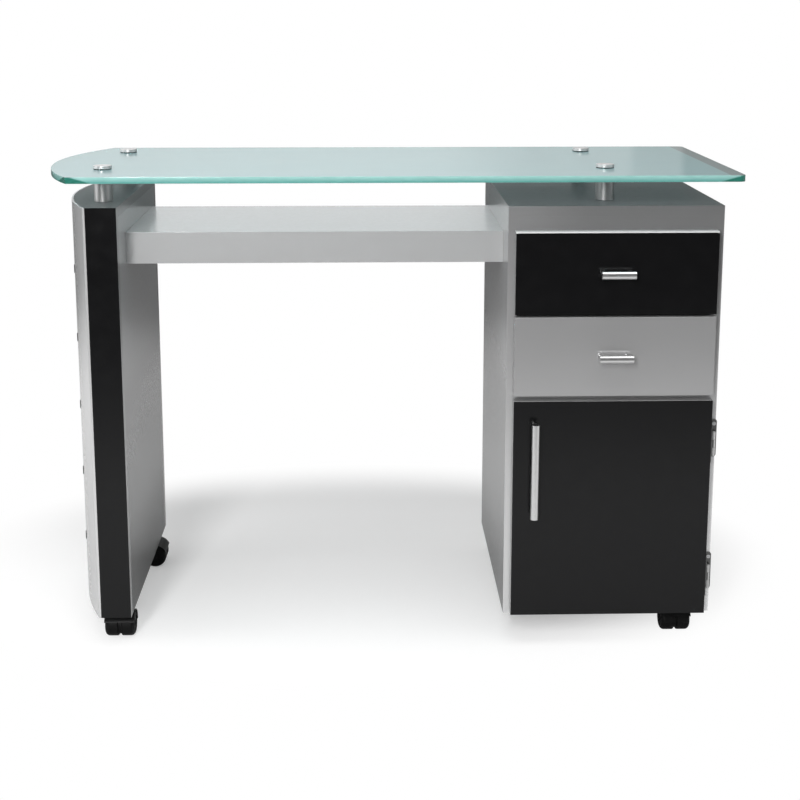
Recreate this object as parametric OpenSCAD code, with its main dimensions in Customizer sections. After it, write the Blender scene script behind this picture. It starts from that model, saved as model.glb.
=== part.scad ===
/* [Glass top] */
// Height of the glass surface above the floor
desk_h = 760; // [720:1:920]
// Overall width of the glass, from the bowed left end to the straight right end
glass_w = 1076; // [890:1:1300]
// Depth of the glass from front edge to back edge
glass_d = 450; // [370:1:560]
// Thickness of the glass
glass_t = 10; // [8:1:12]
// How far the left end bows out past its two corners
glass_bow = 57; // [45:1:70]
// Radius of the two corners at the straight end
glass_corner_r = 10; // [5:1:20]

/* [Stand-offs] */
// Clear height between the top of the case and the glass
standoff_gap = 40; // [30:1:60]
// Diameter of the posts and of the caps
post_d = 28.5; // [24:0.5:34]
// Distance between the front and the back post
post_span = 260; // [210:1:300]
// Distance of the leg's posts from its inner face
leg_post_in = 32; // [28:1:45]
// Distance of the pedestal's posts from its left face
ped_post_in = 159; // [60:1:200]
// Height of the caps on the glass
cap_h = 5; // [4:0.5:8]
// Thickness of the rubber gaskets on both faces of the glass
gasket_t = 1; // [1:0.5:3]
// Radius of the threaded stud through post, glass and cap
stud_r = 4; // [3:0.5:5]

/* [Boards] */
// Thickness of the case boards
board_t = 16; // [15:1:20]
// Thickness of the back panel and the underside panel of the tray
thin_t = 6; // [4:1:8]
// Setback of the case and leg from the front edge of the glass
case_front_in = 31.5; // [25:0.5:60]
// Setback of the case from the back edge of the glass
case_back_in = 3.5; // [0:0.5:40]

/* [Leg] */
// Width of the flat front strip
leg_flat = 51; // [46:1:70]
// How far the curved skin bows out past the strip
leg_bow = 47; // [35:1:55]
// Distance from the left end of the glass to the outermost point of the skin
leg_overhang = 28; // [10:1:40]
// How far the leg stands past the case at front and back
leg_past_case = 3.5; // [0:0.5:6]
// Thickness of the curved skin
skin_t = 3; // [2:0.5:4]
// Width of the two upright battens behind the skin
batten_w = 30; // [24:1:40]
// Distance of the rows of skin screws from the middle of the leg
skin_row = 110; // [70:1:130]
// Height between two skin screws
skin_pitch = 111.5; // [80:0.5:115]
// Number of skin screws in a row
skin_count = 5; // [3:1:5]
// Height of the lowest skin screw above the bottom of the leg
skin_first = 103; // [60:1:110]
// Diameter of the screw caps on the skin
skin_cap_d = 14; // [10:1:18]

/* [Tray] */
// Depth of the tray
tray_d = 297; // [220:1:330]
// Setback of the tray from the front of the case
tray_front_in = 79; // [20:1:90]
// Height of the tray box
tray_h = 50; // [44:1:60]
// Drop of the tray surface below the top of the case
tray_drop = 50; // [40:1:60]

/* [Pedestal] */
// Width of the pedestal
ped_w = 332; // [280:1:400]
// Distance from the right end of the glass to the pedestal
ped_overhang = 23; // [10:1:40]
// Height of the case face above the upper drawer
rail_h = 37; // [30:1:50]
// Margin of the fronts at the left and right of the case face
front_margin = 10.5; // [9:0.5:12]
// Thickness of the drawer fronts and the door
front_t = 16; // [15:1:19]
// Gap between the fronts and the case face
front_gap = 2; // [1:0.5:3]
// Gap between the two drawer fronts
reveal = 4; // [2:0.5:5]
// Gap between the lower drawer front and the door
door_reveal = 8; // [3:0.5:10]
// Height of the upper drawer front
upper_front_h = 129; // [108:1:155]
// Height of the lower drawer front
lower_front_h = 125; // [104:1:150]
// Distance of the door from the bottom of the case
door_lift = 4; // [2:1:10]

/* [Drawer boxes] */
// Thickness of the drawer sides and back
box_t = 12; // [10:1:14]
// Thickness of the drawer bottom
box_bottom_t = 5; // [3:1:6]
// Difference between the height of a front and its box
box_less = 40; // [36:1:44]
// Room left behind a closed drawer
box_back_gap = 20; // [10:1:40]
// Height of the drawer runners
runner_h = 35; // [30:1:45]
// Room that a runner takes beside the box
runner_w = 12.7; // [12:0.1:14]
// Thickness of the runner steel
runner_t = 1.2; // [1:0.1:1.6]

/* [Handles] */
// Diameter of the handle bars
bar_d = 13; // [10:0.5:14]
// Diameter of the handle posts
bar_post_d = 9; // [7:0.5:10]
// Distance of the bar axis from the front
bar_out = 17; // [15:0.5:25]
// Length of the drawer handles
drawer_bar_l = 52; // [43:1:160]
// Length of the door handle
door_bar_l = 153; // [90:1:200]
// Distance of the door handle from the left edge of the door
door_bar_in = 33; // [20:1:60]
// Distance of the top of the door handle below the top of the door
door_bar_down = 33; // [20:1:80]

/* [Hinges] */
// Height of the hinge leaf on the case
leaf_h = 62; // [54:1:74]
// Thickness of the hinge leaves
leaf_t = 1.5; // [1:0.1:1.6]
// Length of the hinge barrel
barrel_l = 38; // [32:1:45]
// Radius of the hinge barrel
barrel_r = 3.5; // [3:0.1:3.6]
// Radius of the hinge pin
pin_r = 1.6; // [1.2:0.1:2]
// Distance from the ends of the door to the middle of the hinges
hinge_end = 66; // [50:1:100]

/* [Casters] */
// Height of the casters from the floor to the case
caster_h = 50; // [48:1:60]
// Diameter of the wheels
wheel_d = 40; // [34:1:42]
// Width over the pair of wheels
wheel_w = 48; // [40:1:56]
// Distance of the axle from the swivel axis
trail = 15; // [13:1:18]
// Distance between the front and the back swivel axes
caster_span = 294; // [240:1:320]
// Distance of the leg casters from the inner face of the leg
leg_caster_in = 25; // [24:1:34]
// Distance of the pedestal casters from its right face
ped_caster_in = 45; // [30:1:80]
// Size of the square mounting plate
caster_plate = 42; // [40:1:46]

/* [Fits] */
// Radial clearance of turning fits: hinge pin, kingpin and wheel axle
running_fit = 0.05; // [0.02:0.01:0.1]
// Radial clearance of screws and studs in their holes
screw_fit = 0.1; // [0.05:0.05:0.3]
// Gap between faces that slide or swing past each other
slide_gap = 0.3; // [0.3:0.1:0.5]

/* [Hidden] */
$fn = 48;
arc_fn = 720;
over = 1;
// How much deeper a screw hole is than its screw
hole_past = 0.5;

// Heights
glass_z = desk_h - glass_t;
case_top = glass_z - standoff_gap;
case_bottom = caster_h;
inside_bottom = case_bottom + board_t;
inside_top = case_top - board_t;
tray_z1 = case_top - tray_drop;
tray_z0 = tray_z1 - tray_h;
upper_z1 = case_top - rail_h;
upper_z0 = upper_z1 - upper_front_h;
lower_z1 = upper_z0 - reveal;
lower_z0 = lower_z1 - lower_front_h;
door_z1 = lower_z0 - door_reveal;
door_z0 = case_bottom + door_lift;
divider_z = (lower_z0 + door_z1) / 2 - board_t / 2;

// Widths, with the middle of the glass at x = 0
glass_x0 = -glass_w / 2;
glass_x1 = glass_w / 2;
leg_tip = glass_x0 + leg_overhang;
leg_edge = leg_tip + leg_bow;
leg_x1 = leg_edge + leg_flat;
ped_x1 = glass_x1 - ped_overhang;
ped_x0 = ped_x1 - ped_w;
ped_in0 = ped_x0 + board_t;
ped_in1 = ped_x1 - board_t;
front_x0 = ped_x0 + front_margin;
front_x1 = ped_x1 - front_margin;

// Depths: the footprint from the handles to the back of the glass is centred on y = 0
front_out = front_gap + front_t + bar_out + bar_d / 2 - case_front_in;
glass_y0 = -(glass_d - front_out) / 2;
glass_y1 = glass_y0 + glass_d;
case_y0 = glass_y0 + case_front_in;
case_y1 = glass_y1 - case_back_in;
case_yc = (case_y0 + case_y1) / 2;
leg_y0 = case_y0 - leg_past_case;
leg_y1 = case_y1 + leg_past_case;
face_back = case_y0 - front_gap;
face_front = face_back - front_t;
tray_y0 = case_y0 + tray_front_in;
tray_y1 = min(tray_y0 + tray_d, case_y1);

// Curved ends: a chord and its bow give the radius of the arc
function arc_r(chord, bow) = (chord * chord / 4 + bow * bow) / (2 * bow);
glass_arc_r = arc_r(glass_d, glass_bow);
leg_arc_r = arc_r(leg_y1 - leg_y0, leg_bow);
leg_arc_x = leg_tip + leg_arc_r;

// Stand-offs
post_r = post_d / 2;
post_places = [for (x = [leg_x1 - leg_post_in, ped_x0 + ped_post_in])
    for (side = [-1, 1]) [x, case_yc + side * post_span / 2]];
stud_sink = board_t - 2;
stud_free = 1;
gasket_inset = 0.25;
cap_roof = 1.5;
glass_hole_clear = 1;

// Skin screws
skin_rows = [-skin_row, skin_row];
skin_cap_proud = 0.8;
skin_cap_sink = skin_t - 1;
skin_screw_r = 2;
skin_screw_l = 24;
panel_x0 = leg_x1 - board_t;

// Tray bolts
bolt_r = 3.5;
bolt_l = 45;
bolt_head_r = 5;
bolt_head_h = 2.5;
rail_bolt_z = (tray_z0 + tray_z1) / 2;
top_bolt_z = tray_z1 - board_t / 2;
tray_bolt_spots = [
    [tray_y0 + board_t / 2, rail_bolt_z], [tray_y1 - board_t / 2, rail_bolt_z],
    [tray_y0 + tray_d / 4, top_bolt_z], [tray_y1 - tray_d / 4, top_bolt_z]];

// Drawer boxes and runners
box_x0 = ped_in0 + runner_w;
box_x1 = ped_in1 - runner_w;
box_y1 = case_y1 - thin_t - box_back_gap;
box_lift = 10;
rail_lap = 8;
runner_setback = 3;
runner_y0 = case_y0 + runner_setback;
runner_y1 = box_y1;
rail_inset = 2;

// Handle screws
handle_screw_r = 2;
handle_head_r = 4;
handle_head_h = 2.5;
handle_bite = 9;
post_end = 0.5;
post_in = bar_post_d / 2 + post_end;
door_bar_x = front_x0 + door_bar_in;
door_bar_z1 = door_z1 - door_bar_down;

// Hinges
barrel_drop = 7.5;
barrel_side_gap = 0.8;
barrel_back_gap = 0.7;
hinge_x = front_x1 + leaf_t + barrel_side_gap + barrel_r;
hinge_y = case_y0 - leaf_t - barrel_back_gap - barrel_r;
hinge_mids = [door_z0 + hinge_end, door_z1 - hinge_end];
knuckle_l = (barrel_l - 2 * slide_gap) / 3;
leaf_gap = 1;
leaf_w = front_margin - leaf_gap;
leaf_round = 5;
side_leaf_d = 30;
side_leaf_inset = 5;
side_screw_in = 10;
door_leaf_past = 10;
door_leaf_h = barrel_l + 2 * door_leaf_past;
door_leaf_inset = 1.5;
door_leaf_y0 = face_front + door_leaf_inset;
door_leaf_y1 = case_y0 - leaf_t - barrel_back_gap;
pin_seat = 0.02;
pin_head_t = 1.2;
pin_head_r = barrel_r - 0.5;
hinge_screw_r = 1.6;
hinge_head_r = 3;
hinge_head_h = 1.2;
hinge_screw_l = 12;
case_screw_end = 7.5;
case_screw_up = leaf_h / 2 - case_screw_end;
side_screw_up = 15;
door_screw_up = (barrel_l + door_leaf_past) / 2;

// Magnetic catch under the divider
catch_size = [30, 14, 12];
catch_in = 22;
strike_size = [24, 1.2, 12];
strike_in = catch_in + (catch_size[0] - strike_size[0]) / 2;

// Casters
caster_y = [case_yc - caster_span / 2, case_yc + caster_span / 2];
leg_caster_x = leg_x1 - leg_caster_in;
ped_caster_x = ped_x1 - ped_caster_in;
caster_places = [
    [leg_caster_x, caster_y[0]], [leg_caster_x, caster_y[1]],
    [ped_caster_x, caster_y[0]], [ped_caster_x, caster_y[1]]];
// How far each caster is turned at rest
caster_turns = [0, 90, 0, 90];
plate_t = 2.5;
plate_z = caster_h - plate_t;
kingpin_r = 4;
axle_r = 3;
wheel_r = wheel_d / 2;
web_half = 2;
web_lift = 3;
web_wheel_gap = 0.5;
// The kingpin turns in a block above the wheels, which reaches down as far as they allow
block_half = kingpin_r + 2;
block_floor = 1.2;
block_z = wheel_r + sqrt(pow(wheel_r + web_wheel_gap, 2) - pow(trail - block_half, 2));
kingpin_z = block_z + block_floor + slide_gap;
boss_z = wheel_d + slide_gap;
tread_round = 7;
hood_gap = 1;
hood_t = 1.6;
hood_front_z = 9;
hood_back_z = -2;
dish_r = 5;
dish_w = 8;
dish_d = 1.5;
tread_inner_round = 1.75;
axle_seat = 0.02;
axle_end = 1;
boss_r = 12;
hub_r = axle_r + 6;
caster_screw_in = 5;
caster_screw_at = caster_plate / 2 - caster_screw_in;
caster_screw_r = 2;
caster_head_r = 3.4;
caster_head_h = 1.6;
caster_screw_l = 12;
wheel_z = wheel_r;

// Shapes that repeat
module block(x, y, z) {
    translate([x[0], y[0], z[0]])
        cube([x[1] - x[0], y[1] - y[0], z[1] - z[0]]);
}

module rod(at, h, r) {
    translate(at)
        cylinder(h = h, r = r);
}

module rod_x(at, h, r) {
    translate(at)
        rotate([0, 90, 0])
            cylinder(h = h, r = r);
}

module rod_y(at, h, r) {
    translate(at)
        rotate([-90, 0, 0])
            cylinder(h = h, r = r);
}

// Plan outline of the leg, a D with its curved side pushed in by inset
module leg_outline(inset = 0) {
    intersection() {
        translate([leg_tip - over, leg_y0])
            square([leg_x1 - leg_tip + over, leg_y1 - leg_y0]);
        translate([leg_arc_x, (leg_y0 + leg_y1) / 2])
            circle(r = leg_arc_r - inset, $fn = arc_fn);
    }
}

module glass_outline() {
    difference() {
        translate([glass_x0, glass_y0])
            square([glass_w, glass_d]);
        difference() {
            translate([glass_x0 - over, glass_y0 - over])
                square([glass_arc_r, glass_d + 2 * over]);
            translate([glass_x0 + glass_arc_r, glass_y0 + glass_d / 2])
                circle(r = glass_arc_r, $fn = arc_fn);
        }
        for (side = [-1, 1])
            translate([glass_x1, glass_y0 + glass_d / 2 + side * glass_d / 2])
                corner_cut(glass_corner_r, -1, -side);
    }
}

// What is left of a square corner outside its rounding, towards sx and sy
module corner_cut(r, sx, sy) {
    difference() {
        translate([sx > 0 ? -over : -r, sy > 0 ? -over : -r])
            square(r + over);
        translate([sx * r, sy * r])
            circle(r = r);
    }
}

module at_skin_screws() {
    for (row = skin_rows)
        for (i = [0 : skin_count - 1])
            translate([leg_arc_x, (leg_y0 + leg_y1) / 2, case_bottom + skin_first + i * skin_pitch])
                rotate([0, 0, 180 - asin(row / leg_arc_r)])
                    translate([leg_arc_r, 0, 0])
                        rotate([0, -90, 0])
                            children();
}

module skin_screw_shape(extra = 0) {
    translate([0, 0, -skin_cap_proud])
        cylinder(h = skin_cap_sink + skin_cap_proud, r = skin_cap_d / 2 + extra);
    cylinder(h = skin_screw_l, r = skin_screw_r + extra);
}

module skin_holes() {
    at_skin_screws()
        skin_screw_shape(screw_fit);
}

module stud_holes(z, h) {
    for (p = post_places)
        rod([p[0], p[1], z], h, stud_r + screw_fit);
}

// Places of the tray bolts: from the leg towards the pedestal, and the other way round
module at_tray_bolts() {
    for (spot = tray_bolt_spots)
        for (end = [[panel_x0, 90], [ped_in0, -90]])
            translate([end[0], spot[0], spot[1]])
                rotate([0, end[1], 0])
                    children();
}

// Holes with a sink, in which the head of each bolt lies flush with the board
module tray_bolt_holes() {
    at_tray_bolts()
        translate([0, 0, -over]) {
            cylinder(h = over + bolt_l + hole_past, r = bolt_r + screw_fit);
            cylinder(h = over + bolt_head_h, r = bolt_head_r + screw_fit);
        }
}

module standoff_post(p) {
    difference() {
        rod([p[0], p[1], case_top], standoff_gap - gasket_t, post_r);
        rod([p[0], p[1], case_top - over], standoff_gap + 2 * over, stud_r + screw_fit);
    }
}

module standoff_cap(p) {
    difference() {
        rod([p[0], p[1], desk_h + gasket_t], cap_h, post_r);
        rod([p[0], p[1], desk_h], gasket_t + cap_h - cap_roof, stud_r + screw_fit);
    }
}

module gasket(p, z) {
    difference() {
        rod([p[0], p[1], z], gasket_t, post_r - gasket_inset);
        rod([p[0], p[1], z - over], gasket_t + 2 * over, stud_r + screw_fit);
    }
}

// Drawers
module drawer_front(z0, z1) {
    difference() {
        block([front_x0, front_x1], [face_front, face_back], [z0, z1]);
        for (x = drawer_post_x())
            rod_y([x, face_front - over, (z0 + z1) / 2], front_t + 2 * over,
                handle_screw_r + screw_fit);
    }
}

function drawer_post_x() = [for (side = [-1, 1])
    (front_x0 + front_x1) / 2 + side * (drawer_bar_l / 2 - post_in)];

function box_z0(z0) = z0 + box_lift;
function box_z1(z0, z1) = z1 + box_lift - box_less;
function runner_z(z0, z1) = (box_z0(z0) + box_z1(z0, z1)) / 2;

module drawer_sides(z0, z1) {
    for (x = [box_x0, box_x1 - box_t])
        block([x, x + box_t], [face_back, box_y1], [box_z0(z0), box_z1(z0, z1)]);
}

module drawer_back(z0, z1) {
    block([box_x0 + box_t, box_x1 - box_t], [box_y1 - box_t, box_y1],
        [box_z0(z0), box_z1(z0, z1)]);
}

module drawer_bottom(z0) {
    block([box_x0 + box_t, box_x1 - box_t], [face_back, box_y1 - box_t],
        [box_z0(z0), box_z0(z0) + box_bottom_t]);
}

// Section of a runner member as a C that opens towards +x
module c_section(h, w) {
    difference() {
        translate([0, -h / 2])
            square([w, h]);
        translate([runner_t, -h / 2 + runner_t])
            square([w, h - 2 * runner_t]);
    }
}

// A runner member along y, with its web on x = web_x and its flanges towards way
module runner_member(web_x, way, z, h, w) {
    translate([web_x, runner_y1, z])
        scale_way(way)
            rotate([90, 0, 0])
                linear_extrude(height = runner_y1 - runner_y0)
                    c_section(h, w);
}

module scale_way(way) {
    if (way < 0)
        mirror([1, 0, 0])
            children();
    else
        children();
}

module case_rails(z) {
    reach = runner_w - rail_inset;
    runner_member(ped_in0, 1, z, runner_h, reach);
    runner_member(ped_in1, -1, z, runner_h, reach);
}

module drawer_rails(z) {
    h = runner_h - 2 * runner_t - 2 * slide_gap;
    reach = runner_w - runner_t - rail_inset;
    runner_member(box_x0, -1, z, h, reach);
    runner_member(box_x1, 1, z, h, reach);
}

// A bar along z with a post near each end; the posts reach the face at y = 0
module pull(length) {
    difference() {
        union() {
            rod([0, -bar_out, -length / 2], length, bar_d / 2);
            for (side = [-1, 1])
                rod_y([0, -bar_out, side * (length / 2 - post_in)], bar_out, bar_post_d / 2);
        }
        for (side = [-1, 1])
            rod_y([0, -handle_bite, side * (length / 2 - post_in)], handle_bite + over,
                handle_screw_r + screw_fit);
    }
}

module pull_screws(length) {
    for (side = [-1, 1]) {
        rod_y([0, hole_past - handle_bite, side * (length / 2 - post_in)],
            handle_bite + front_t - hole_past, handle_screw_r);
        rod_y([0, front_t, side * (length / 2 - post_in)], handle_head_h, handle_head_r);
    }
}

module at_drawer_pull(z0, z1) {
    translate([(front_x0 + front_x1) / 2, face_front, (z0 + z1) / 2])
        rotate([0, 90, 0])
            children();
}

module at_door_pull() {
    translate([door_bar_x, face_front, door_bar_z1 - door_bar_l / 2])
        children();
}

// Hinges
module round_ended(w, h) {
    r = min(w / 2, leaf_round);
    difference() {
        translate([0, -h / 2])
            square([w, h]);
        for (sx = [0, 1])
            for (sy = [-1, 1])
                translate([sx * w, sy * h / 2])
                    corner_cut(r, sx > 0 ? -1 : 1, -sy);
    }
}

module case_leaf(z) {
    bz = z - barrel_drop;
    difference() {
        union() {
            translate([ped_x1 + leaf_t - leaf_w, case_y0, z])
                rotate([90, 0, 0])
                    linear_extrude(height = leaf_t)
                        round_ended(leaf_w, leaf_h);
            block([ped_x1, ped_x1 + leaf_t], [case_y0 - leaf_t / 2, case_y0 + side_leaf_d],
                [z - leaf_h / 2 + side_leaf_inset, z + leaf_h / 2 - side_leaf_inset]);
            for (side = [-1, 1])
                case_knuckle(bz + side * (barrel_l - knuckle_l) / 2);
        }
        rod([hinge_x, hinge_y, bz - leaf_h], 2 * leaf_h, pin_r + pin_seat);
        rod_y([case_screw_x(), case_y0 - leaf_t - over, z + case_screw_up],
            leaf_t + 2 * over, hinge_screw_r + screw_fit);
        for (side = [-1, 1])
            rod_x([ped_x1 - over, case_y0 + side_leaf_d - side_screw_in, z + side * side_screw_up],
                leaf_t + 2 * over, hinge_screw_r + screw_fit);
    }
}

function case_screw_x() = ped_x1 + leaf_t - leaf_w / 2;

module case_knuckle(z) {
    rod([hinge_x, hinge_y, z - knuckle_l / 2], knuckle_l, barrel_r);
    block([hinge_x + barrel_r - leaf_t, hinge_x + barrel_r], [hinge_y, case_y0 - leaf_t / 2],
        [z - knuckle_l / 2, z + knuckle_l / 2]);
}

module door_leaf(z) {
    bz = z - barrel_drop;
    difference() {
        union() {
            block([front_x1, front_x1 + leaf_t], [door_leaf_y0, door_leaf_y1],
                [bz - door_leaf_h / 2, bz + door_leaf_h / 2]);
            rod([hinge_x, hinge_y, bz - knuckle_l / 2], knuckle_l, barrel_r);
            block([front_x1 + leaf_t / 2, hinge_x],
                [hinge_y - barrel_r, hinge_y - barrel_r + leaf_t],
                [bz - knuckle_l / 2, bz + knuckle_l / 2]);
        }
        rod([hinge_x, hinge_y, bz - knuckle_l], 2 * knuckle_l, pin_r + running_fit);
        for (side = [-1, 1])
            rod_x([front_x1 - over, door_screw_y(), bz + side * door_screw_up],
                leaf_t + 2 * over, hinge_screw_r + screw_fit);
    }
}

function door_screw_y() = (door_leaf_y0 + door_leaf_y1) / 2;

// A countersunk wood screw seen as a flat head and a shank, along z
module wood_screw(r, head_r, head_h, l) {
    translate([0, 0, -head_h])
        cylinder(h = head_h, r = head_r);
    cylinder(h = l, r = r);
}

module at_case_screws(z) {
    translate([case_screw_x(), case_y0 - leaf_t, z + case_screw_up])
        rotate([-90, 0, 0])
            children();
    for (side = [-1, 1])
        translate([ped_x1 + leaf_t, case_y0 + side_leaf_d - side_screw_in, z + side * side_screw_up])
            rotate([0, -90, 0])
                children();
}

module at_door_screws(z) {
    for (side = [-1, 1])
        translate([front_x1 + leaf_t, door_screw_y(), z - barrel_drop + side * door_screw_up])
            rotate([0, -90, 0])
                children();
}

module hinge_screw() {
    wood_screw(hinge_screw_r, hinge_head_r, hinge_head_h, hinge_screw_l);
}

module hinge_screw_hole() {
    cylinder(h = hinge_screw_l + hole_past, r = hinge_screw_r + screw_fit);
}

// Casters, drawn round their swivel axis with the axle towards -y
module at_caster(i) {
    translate([caster_places[i][0], caster_places[i][1], 0])
        rotate([0, 0, caster_turns[i]])
            children();
}

module caster_plate_shape() {
    difference() {
        translate([-caster_plate / 2, -caster_plate / 2, plate_z])
            cube([caster_plate, caster_plate, plate_t]);
        at_caster_screws(plate_z - over)
            cylinder(h = plate_t + 2 * over, r = caster_screw_r + screw_fit);
    }
    rod([0, 0, kingpin_z], plate_z + over - kingpin_z, kingpin_r);
}

module at_caster_screws(z) {
    for (sx = [-1, 1])
        for (sy = [-1, 1])
            translate([sx * caster_screw_at, sy * caster_screw_at, z])
                children();
}

module caster_screw_holes(places) {
    for (i = places)
        at_caster(i)
            at_caster_screws(caster_h - over)
                cylinder(h = over + caster_screw_l - plate_t + hole_past,
                    r = caster_screw_r + screw_fit);
}

// Side view of the web between the wheels, in y and z from the axle
module web_side() {
    circle(r = wheel_r - web_lift);
    intersection() {
        translate([-hub_r, 0])
            square([hub_r + trail, wheel_r + hood_gap + hood_t]);
        circle(r = wheel_r + hood_gap + hood_t / 2);
    }
}

// Side view of the block round the kingpin
module block_side() {
    translate([trail - block_half, block_z - wheel_z])
        square([2 * block_half, boss_z + over - block_z]);
}

module hood_side() {
    intersection() {
        difference() {
            circle(r = wheel_r + hood_gap + hood_t);
            circle(r = wheel_r + hood_gap);
        }
        union() {
            translate([-2 * wheel_r, hood_front_z])
                square([4 * wheel_r, 2 * wheel_r]);
            translate([0, hood_back_z])
                square([2 * wheel_r, 2 * wheel_r]);
        }
    }
}

// Extrudes a side view across the caster, centred on x = 0
module across(width) {
    translate([-width / 2, -trail, wheel_z])
        rotate([90, 0, 90])
            linear_extrude(height = width)
                children();
}

module caster_body() {
    difference() {
        union() {
            across(2 * web_half)
                web_side();
            across(2 * block_half)
                block_side();
            across(wheel_w)
                hood_side();
            rod([0, 0, boss_z], plate_z - slide_gap - boss_z, boss_r);
        }
        rod([0, 0, kingpin_z - slide_gap], caster_h, kingpin_r + running_fit);
        rod_x([-wheel_w, -trail, wheel_z], 2 * wheel_w, axle_r + running_fit);
    }
}

// Section of the right wheel: radius along x, width along y
module wheel_section() {
    y0 = web_half + web_wheel_gap;
    y1 = wheel_w / 2;
    difference() {
        translate([axle_r + axle_seat, y0])
            square([wheel_r - axle_r - axle_seat, y1 - y0]);
        translate([wheel_r, y1])
            corner_cut(tread_round, -1, -1);
        translate([wheel_r, y0])
            corner_cut(tread_inner_round, -1, 1);
        translate([dish_r, y1 - dish_d])
            square([dish_w, dish_d + over]);
    }
}

module caster_wheels() {
    translate([0, -trail, wheel_z]) {
        for (way = [-1, 1])
            rotate([0, 90 * way, 0])
                rotate_extrude()
                    wheel_section();
        rod_x([axle_end - wheel_w / 2, 0, 0], wheel_w - 2 * axle_end, axle_r);
    }
}

// Glass and stand-offs
module glass_top() {
    color([0.62, 0.8, 0.78, 0.6])
        difference() {
            translate([0, 0, glass_z])
                linear_extrude(height = glass_t)
                    glass_outline();
            for (p = post_places)
                rod([p[0], p[1], glass_z - over], glass_t + 2 * over,
                    stud_r + glass_hole_clear);
        }
}

module standoff_posts() {
    color("silver")
        for (p = post_places)
            standoff_post(p);
}

module standoff_caps() {
    color("gainsboro")
        for (p = post_places)
            standoff_cap(p);
}

module standoff_gaskets() {
    color([0.06, 0.06, 0.06])
        for (p = post_places)
            for (z = [glass_z - gasket_t, desk_h])
                gasket(p, z);
}

module standoff_studs() {
    color("gray")
        for (p = post_places)
            rod([p[0], p[1], case_top - stud_sink + stud_free],
                stud_sink + standoff_gap + glass_t + gasket_t + cap_h - cap_roof
                    - hole_past - stud_free, stud_r);
}

// Leg
module leg_inner_panel() {
    color([0.55, 0.55, 0.56])
        difference() {
            block([panel_x0, leg_x1], [leg_y0 + board_t, leg_y1 - board_t],
                [inside_bottom, inside_top]);
            tray_bolt_holes();
        }
}

module leg_strip(y0) {
    intersection() {
        translate([0, 0, case_bottom])
            linear_extrude(height = case_top - case_bottom)
                leg_outline(skin_t);
        block([leg_tip - over, leg_x1 + over], [y0, y0 + board_t],
            [case_bottom - over, case_top + over]);
    }
}

module leg_front_strip() {
    color([0.12, 0.12, 0.12])
        leg_strip(leg_y0);
}

module leg_rear_strip() {
    color([0.12, 0.12, 0.12])
        leg_strip(leg_y1 - board_t);
}

module leg_outer_skin() {
    color([0.72, 0.72, 0.73])
        difference() {
            translate([0, 0, case_bottom])
                linear_extrude(height = case_top - case_bottom)
                    difference() {
                        leg_outline();
                        leg_outline(skin_t);
                    }
            skin_holes();
        }
}

module leg_plate(z) {
    intersection() {
        translate([0, 0, z])
            linear_extrude(height = board_t)
                leg_outline(skin_t);
        block([leg_tip - over, leg_x1 + over], [leg_y0 + board_t, leg_y1 - board_t],
            [z - over, z + board_t + over]);
    }
}

module leg_top_plate() {
    color([0.4, 0.4, 0.41])
        difference() {
            leg_plate(inside_top);
            stud_holes(case_top - stud_sink, stud_sink + over);
        }
}

module leg_bottom_plate() {
    color([0.35, 0.35, 0.36])
        difference() {
            leg_plate(case_bottom);
            caster_screw_holes([0, 1]);
        }
}

module leg_battens() {
    color("burlywood")
        difference() {
            for (row = skin_rows)
                intersection() {
                    translate([0, 0, inside_bottom])
                        linear_extrude(height = inside_top - inside_bottom)
                            leg_outline(skin_t);
                    block([leg_tip - over, panel_x0],
                        [(leg_y0 + leg_y1 + 2 * row - batten_w) / 2,
                            (leg_y0 + leg_y1 + 2 * row + batten_w) / 2],
                        [inside_bottom - over, inside_top + over]);
                }
            skin_holes();
        }
}

module leg_skin_screws() {
    color([0.25, 0.25, 0.25])
        at_skin_screws()
            skin_screw_shape();
}

// Tray
module tray_top() {
    color([0.8, 0.8, 0.81])
        difference() {
            block([leg_x1, ped_x0], [tray_y0 + board_t, tray_y1 - board_t],
                [tray_z1 - board_t, tray_z1]);
            tray_bolt_holes();
        }
}

module tray_rail(y0) {
    difference() {
        block([leg_x1, ped_x0], [y0, y0 + board_t], [tray_z0, tray_z1]);
        tray_bolt_holes();
    }
}

module tray_front_rail() {
    color([0.7, 0.7, 0.71])
        tray_rail(tray_y0);
}

module tray_back_rail() {
    color([0.7, 0.7, 0.71])
        tray_rail(tray_y1 - board_t);
}

module tray_bottom() {
    color([0.6, 0.6, 0.61])
        block([leg_x1, ped_x0], [tray_y0 + board_t, tray_y1 - board_t],
            [tray_z0, tray_z0 + thin_t]);
}

module tray_bolts() {
    color("dimgray")
        at_tray_bolts() {
            cylinder(h = bolt_head_h, r = bolt_head_r);
            cylinder(h = bolt_l, r = bolt_r);
        }
}

// Pedestal
module pedestal_left_side() {
    color([0.6, 0.6, 0.61])
        difference() {
            block([ped_x0, ped_in0], [case_y0, case_y1], [inside_bottom, inside_top]);
            tray_bolt_holes();
        }
}

module pedestal_right_side() {
    color([0.6, 0.6, 0.61])
        difference() {
            block([ped_in1, ped_x1], [case_y0, case_y1], [inside_bottom, inside_top]);
            for (z = hinge_mids)
                at_case_screws(z)
                    hinge_screw_hole();
        }
}

module pedestal_top() {
    color([0.5, 0.5, 0.51])
        difference() {
            block([ped_x0, ped_x1], [case_y0, case_y1], [inside_top, case_top]);
            stud_holes(case_top - stud_sink, stud_sink + over);
        }
}

module pedestal_bottom() {
    color([0.5, 0.5, 0.51])
        difference() {
            block([ped_x0, ped_x1], [case_y0, case_y1], [case_bottom, inside_bottom]);
            caster_screw_holes([2, 3]);
        }
}

module pedestal_back() {
    color([0.55, 0.55, 0.56])
        block([ped_in0, ped_in1], [case_y1 - thin_t, case_y1], [inside_bottom, inside_top]);
}

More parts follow.
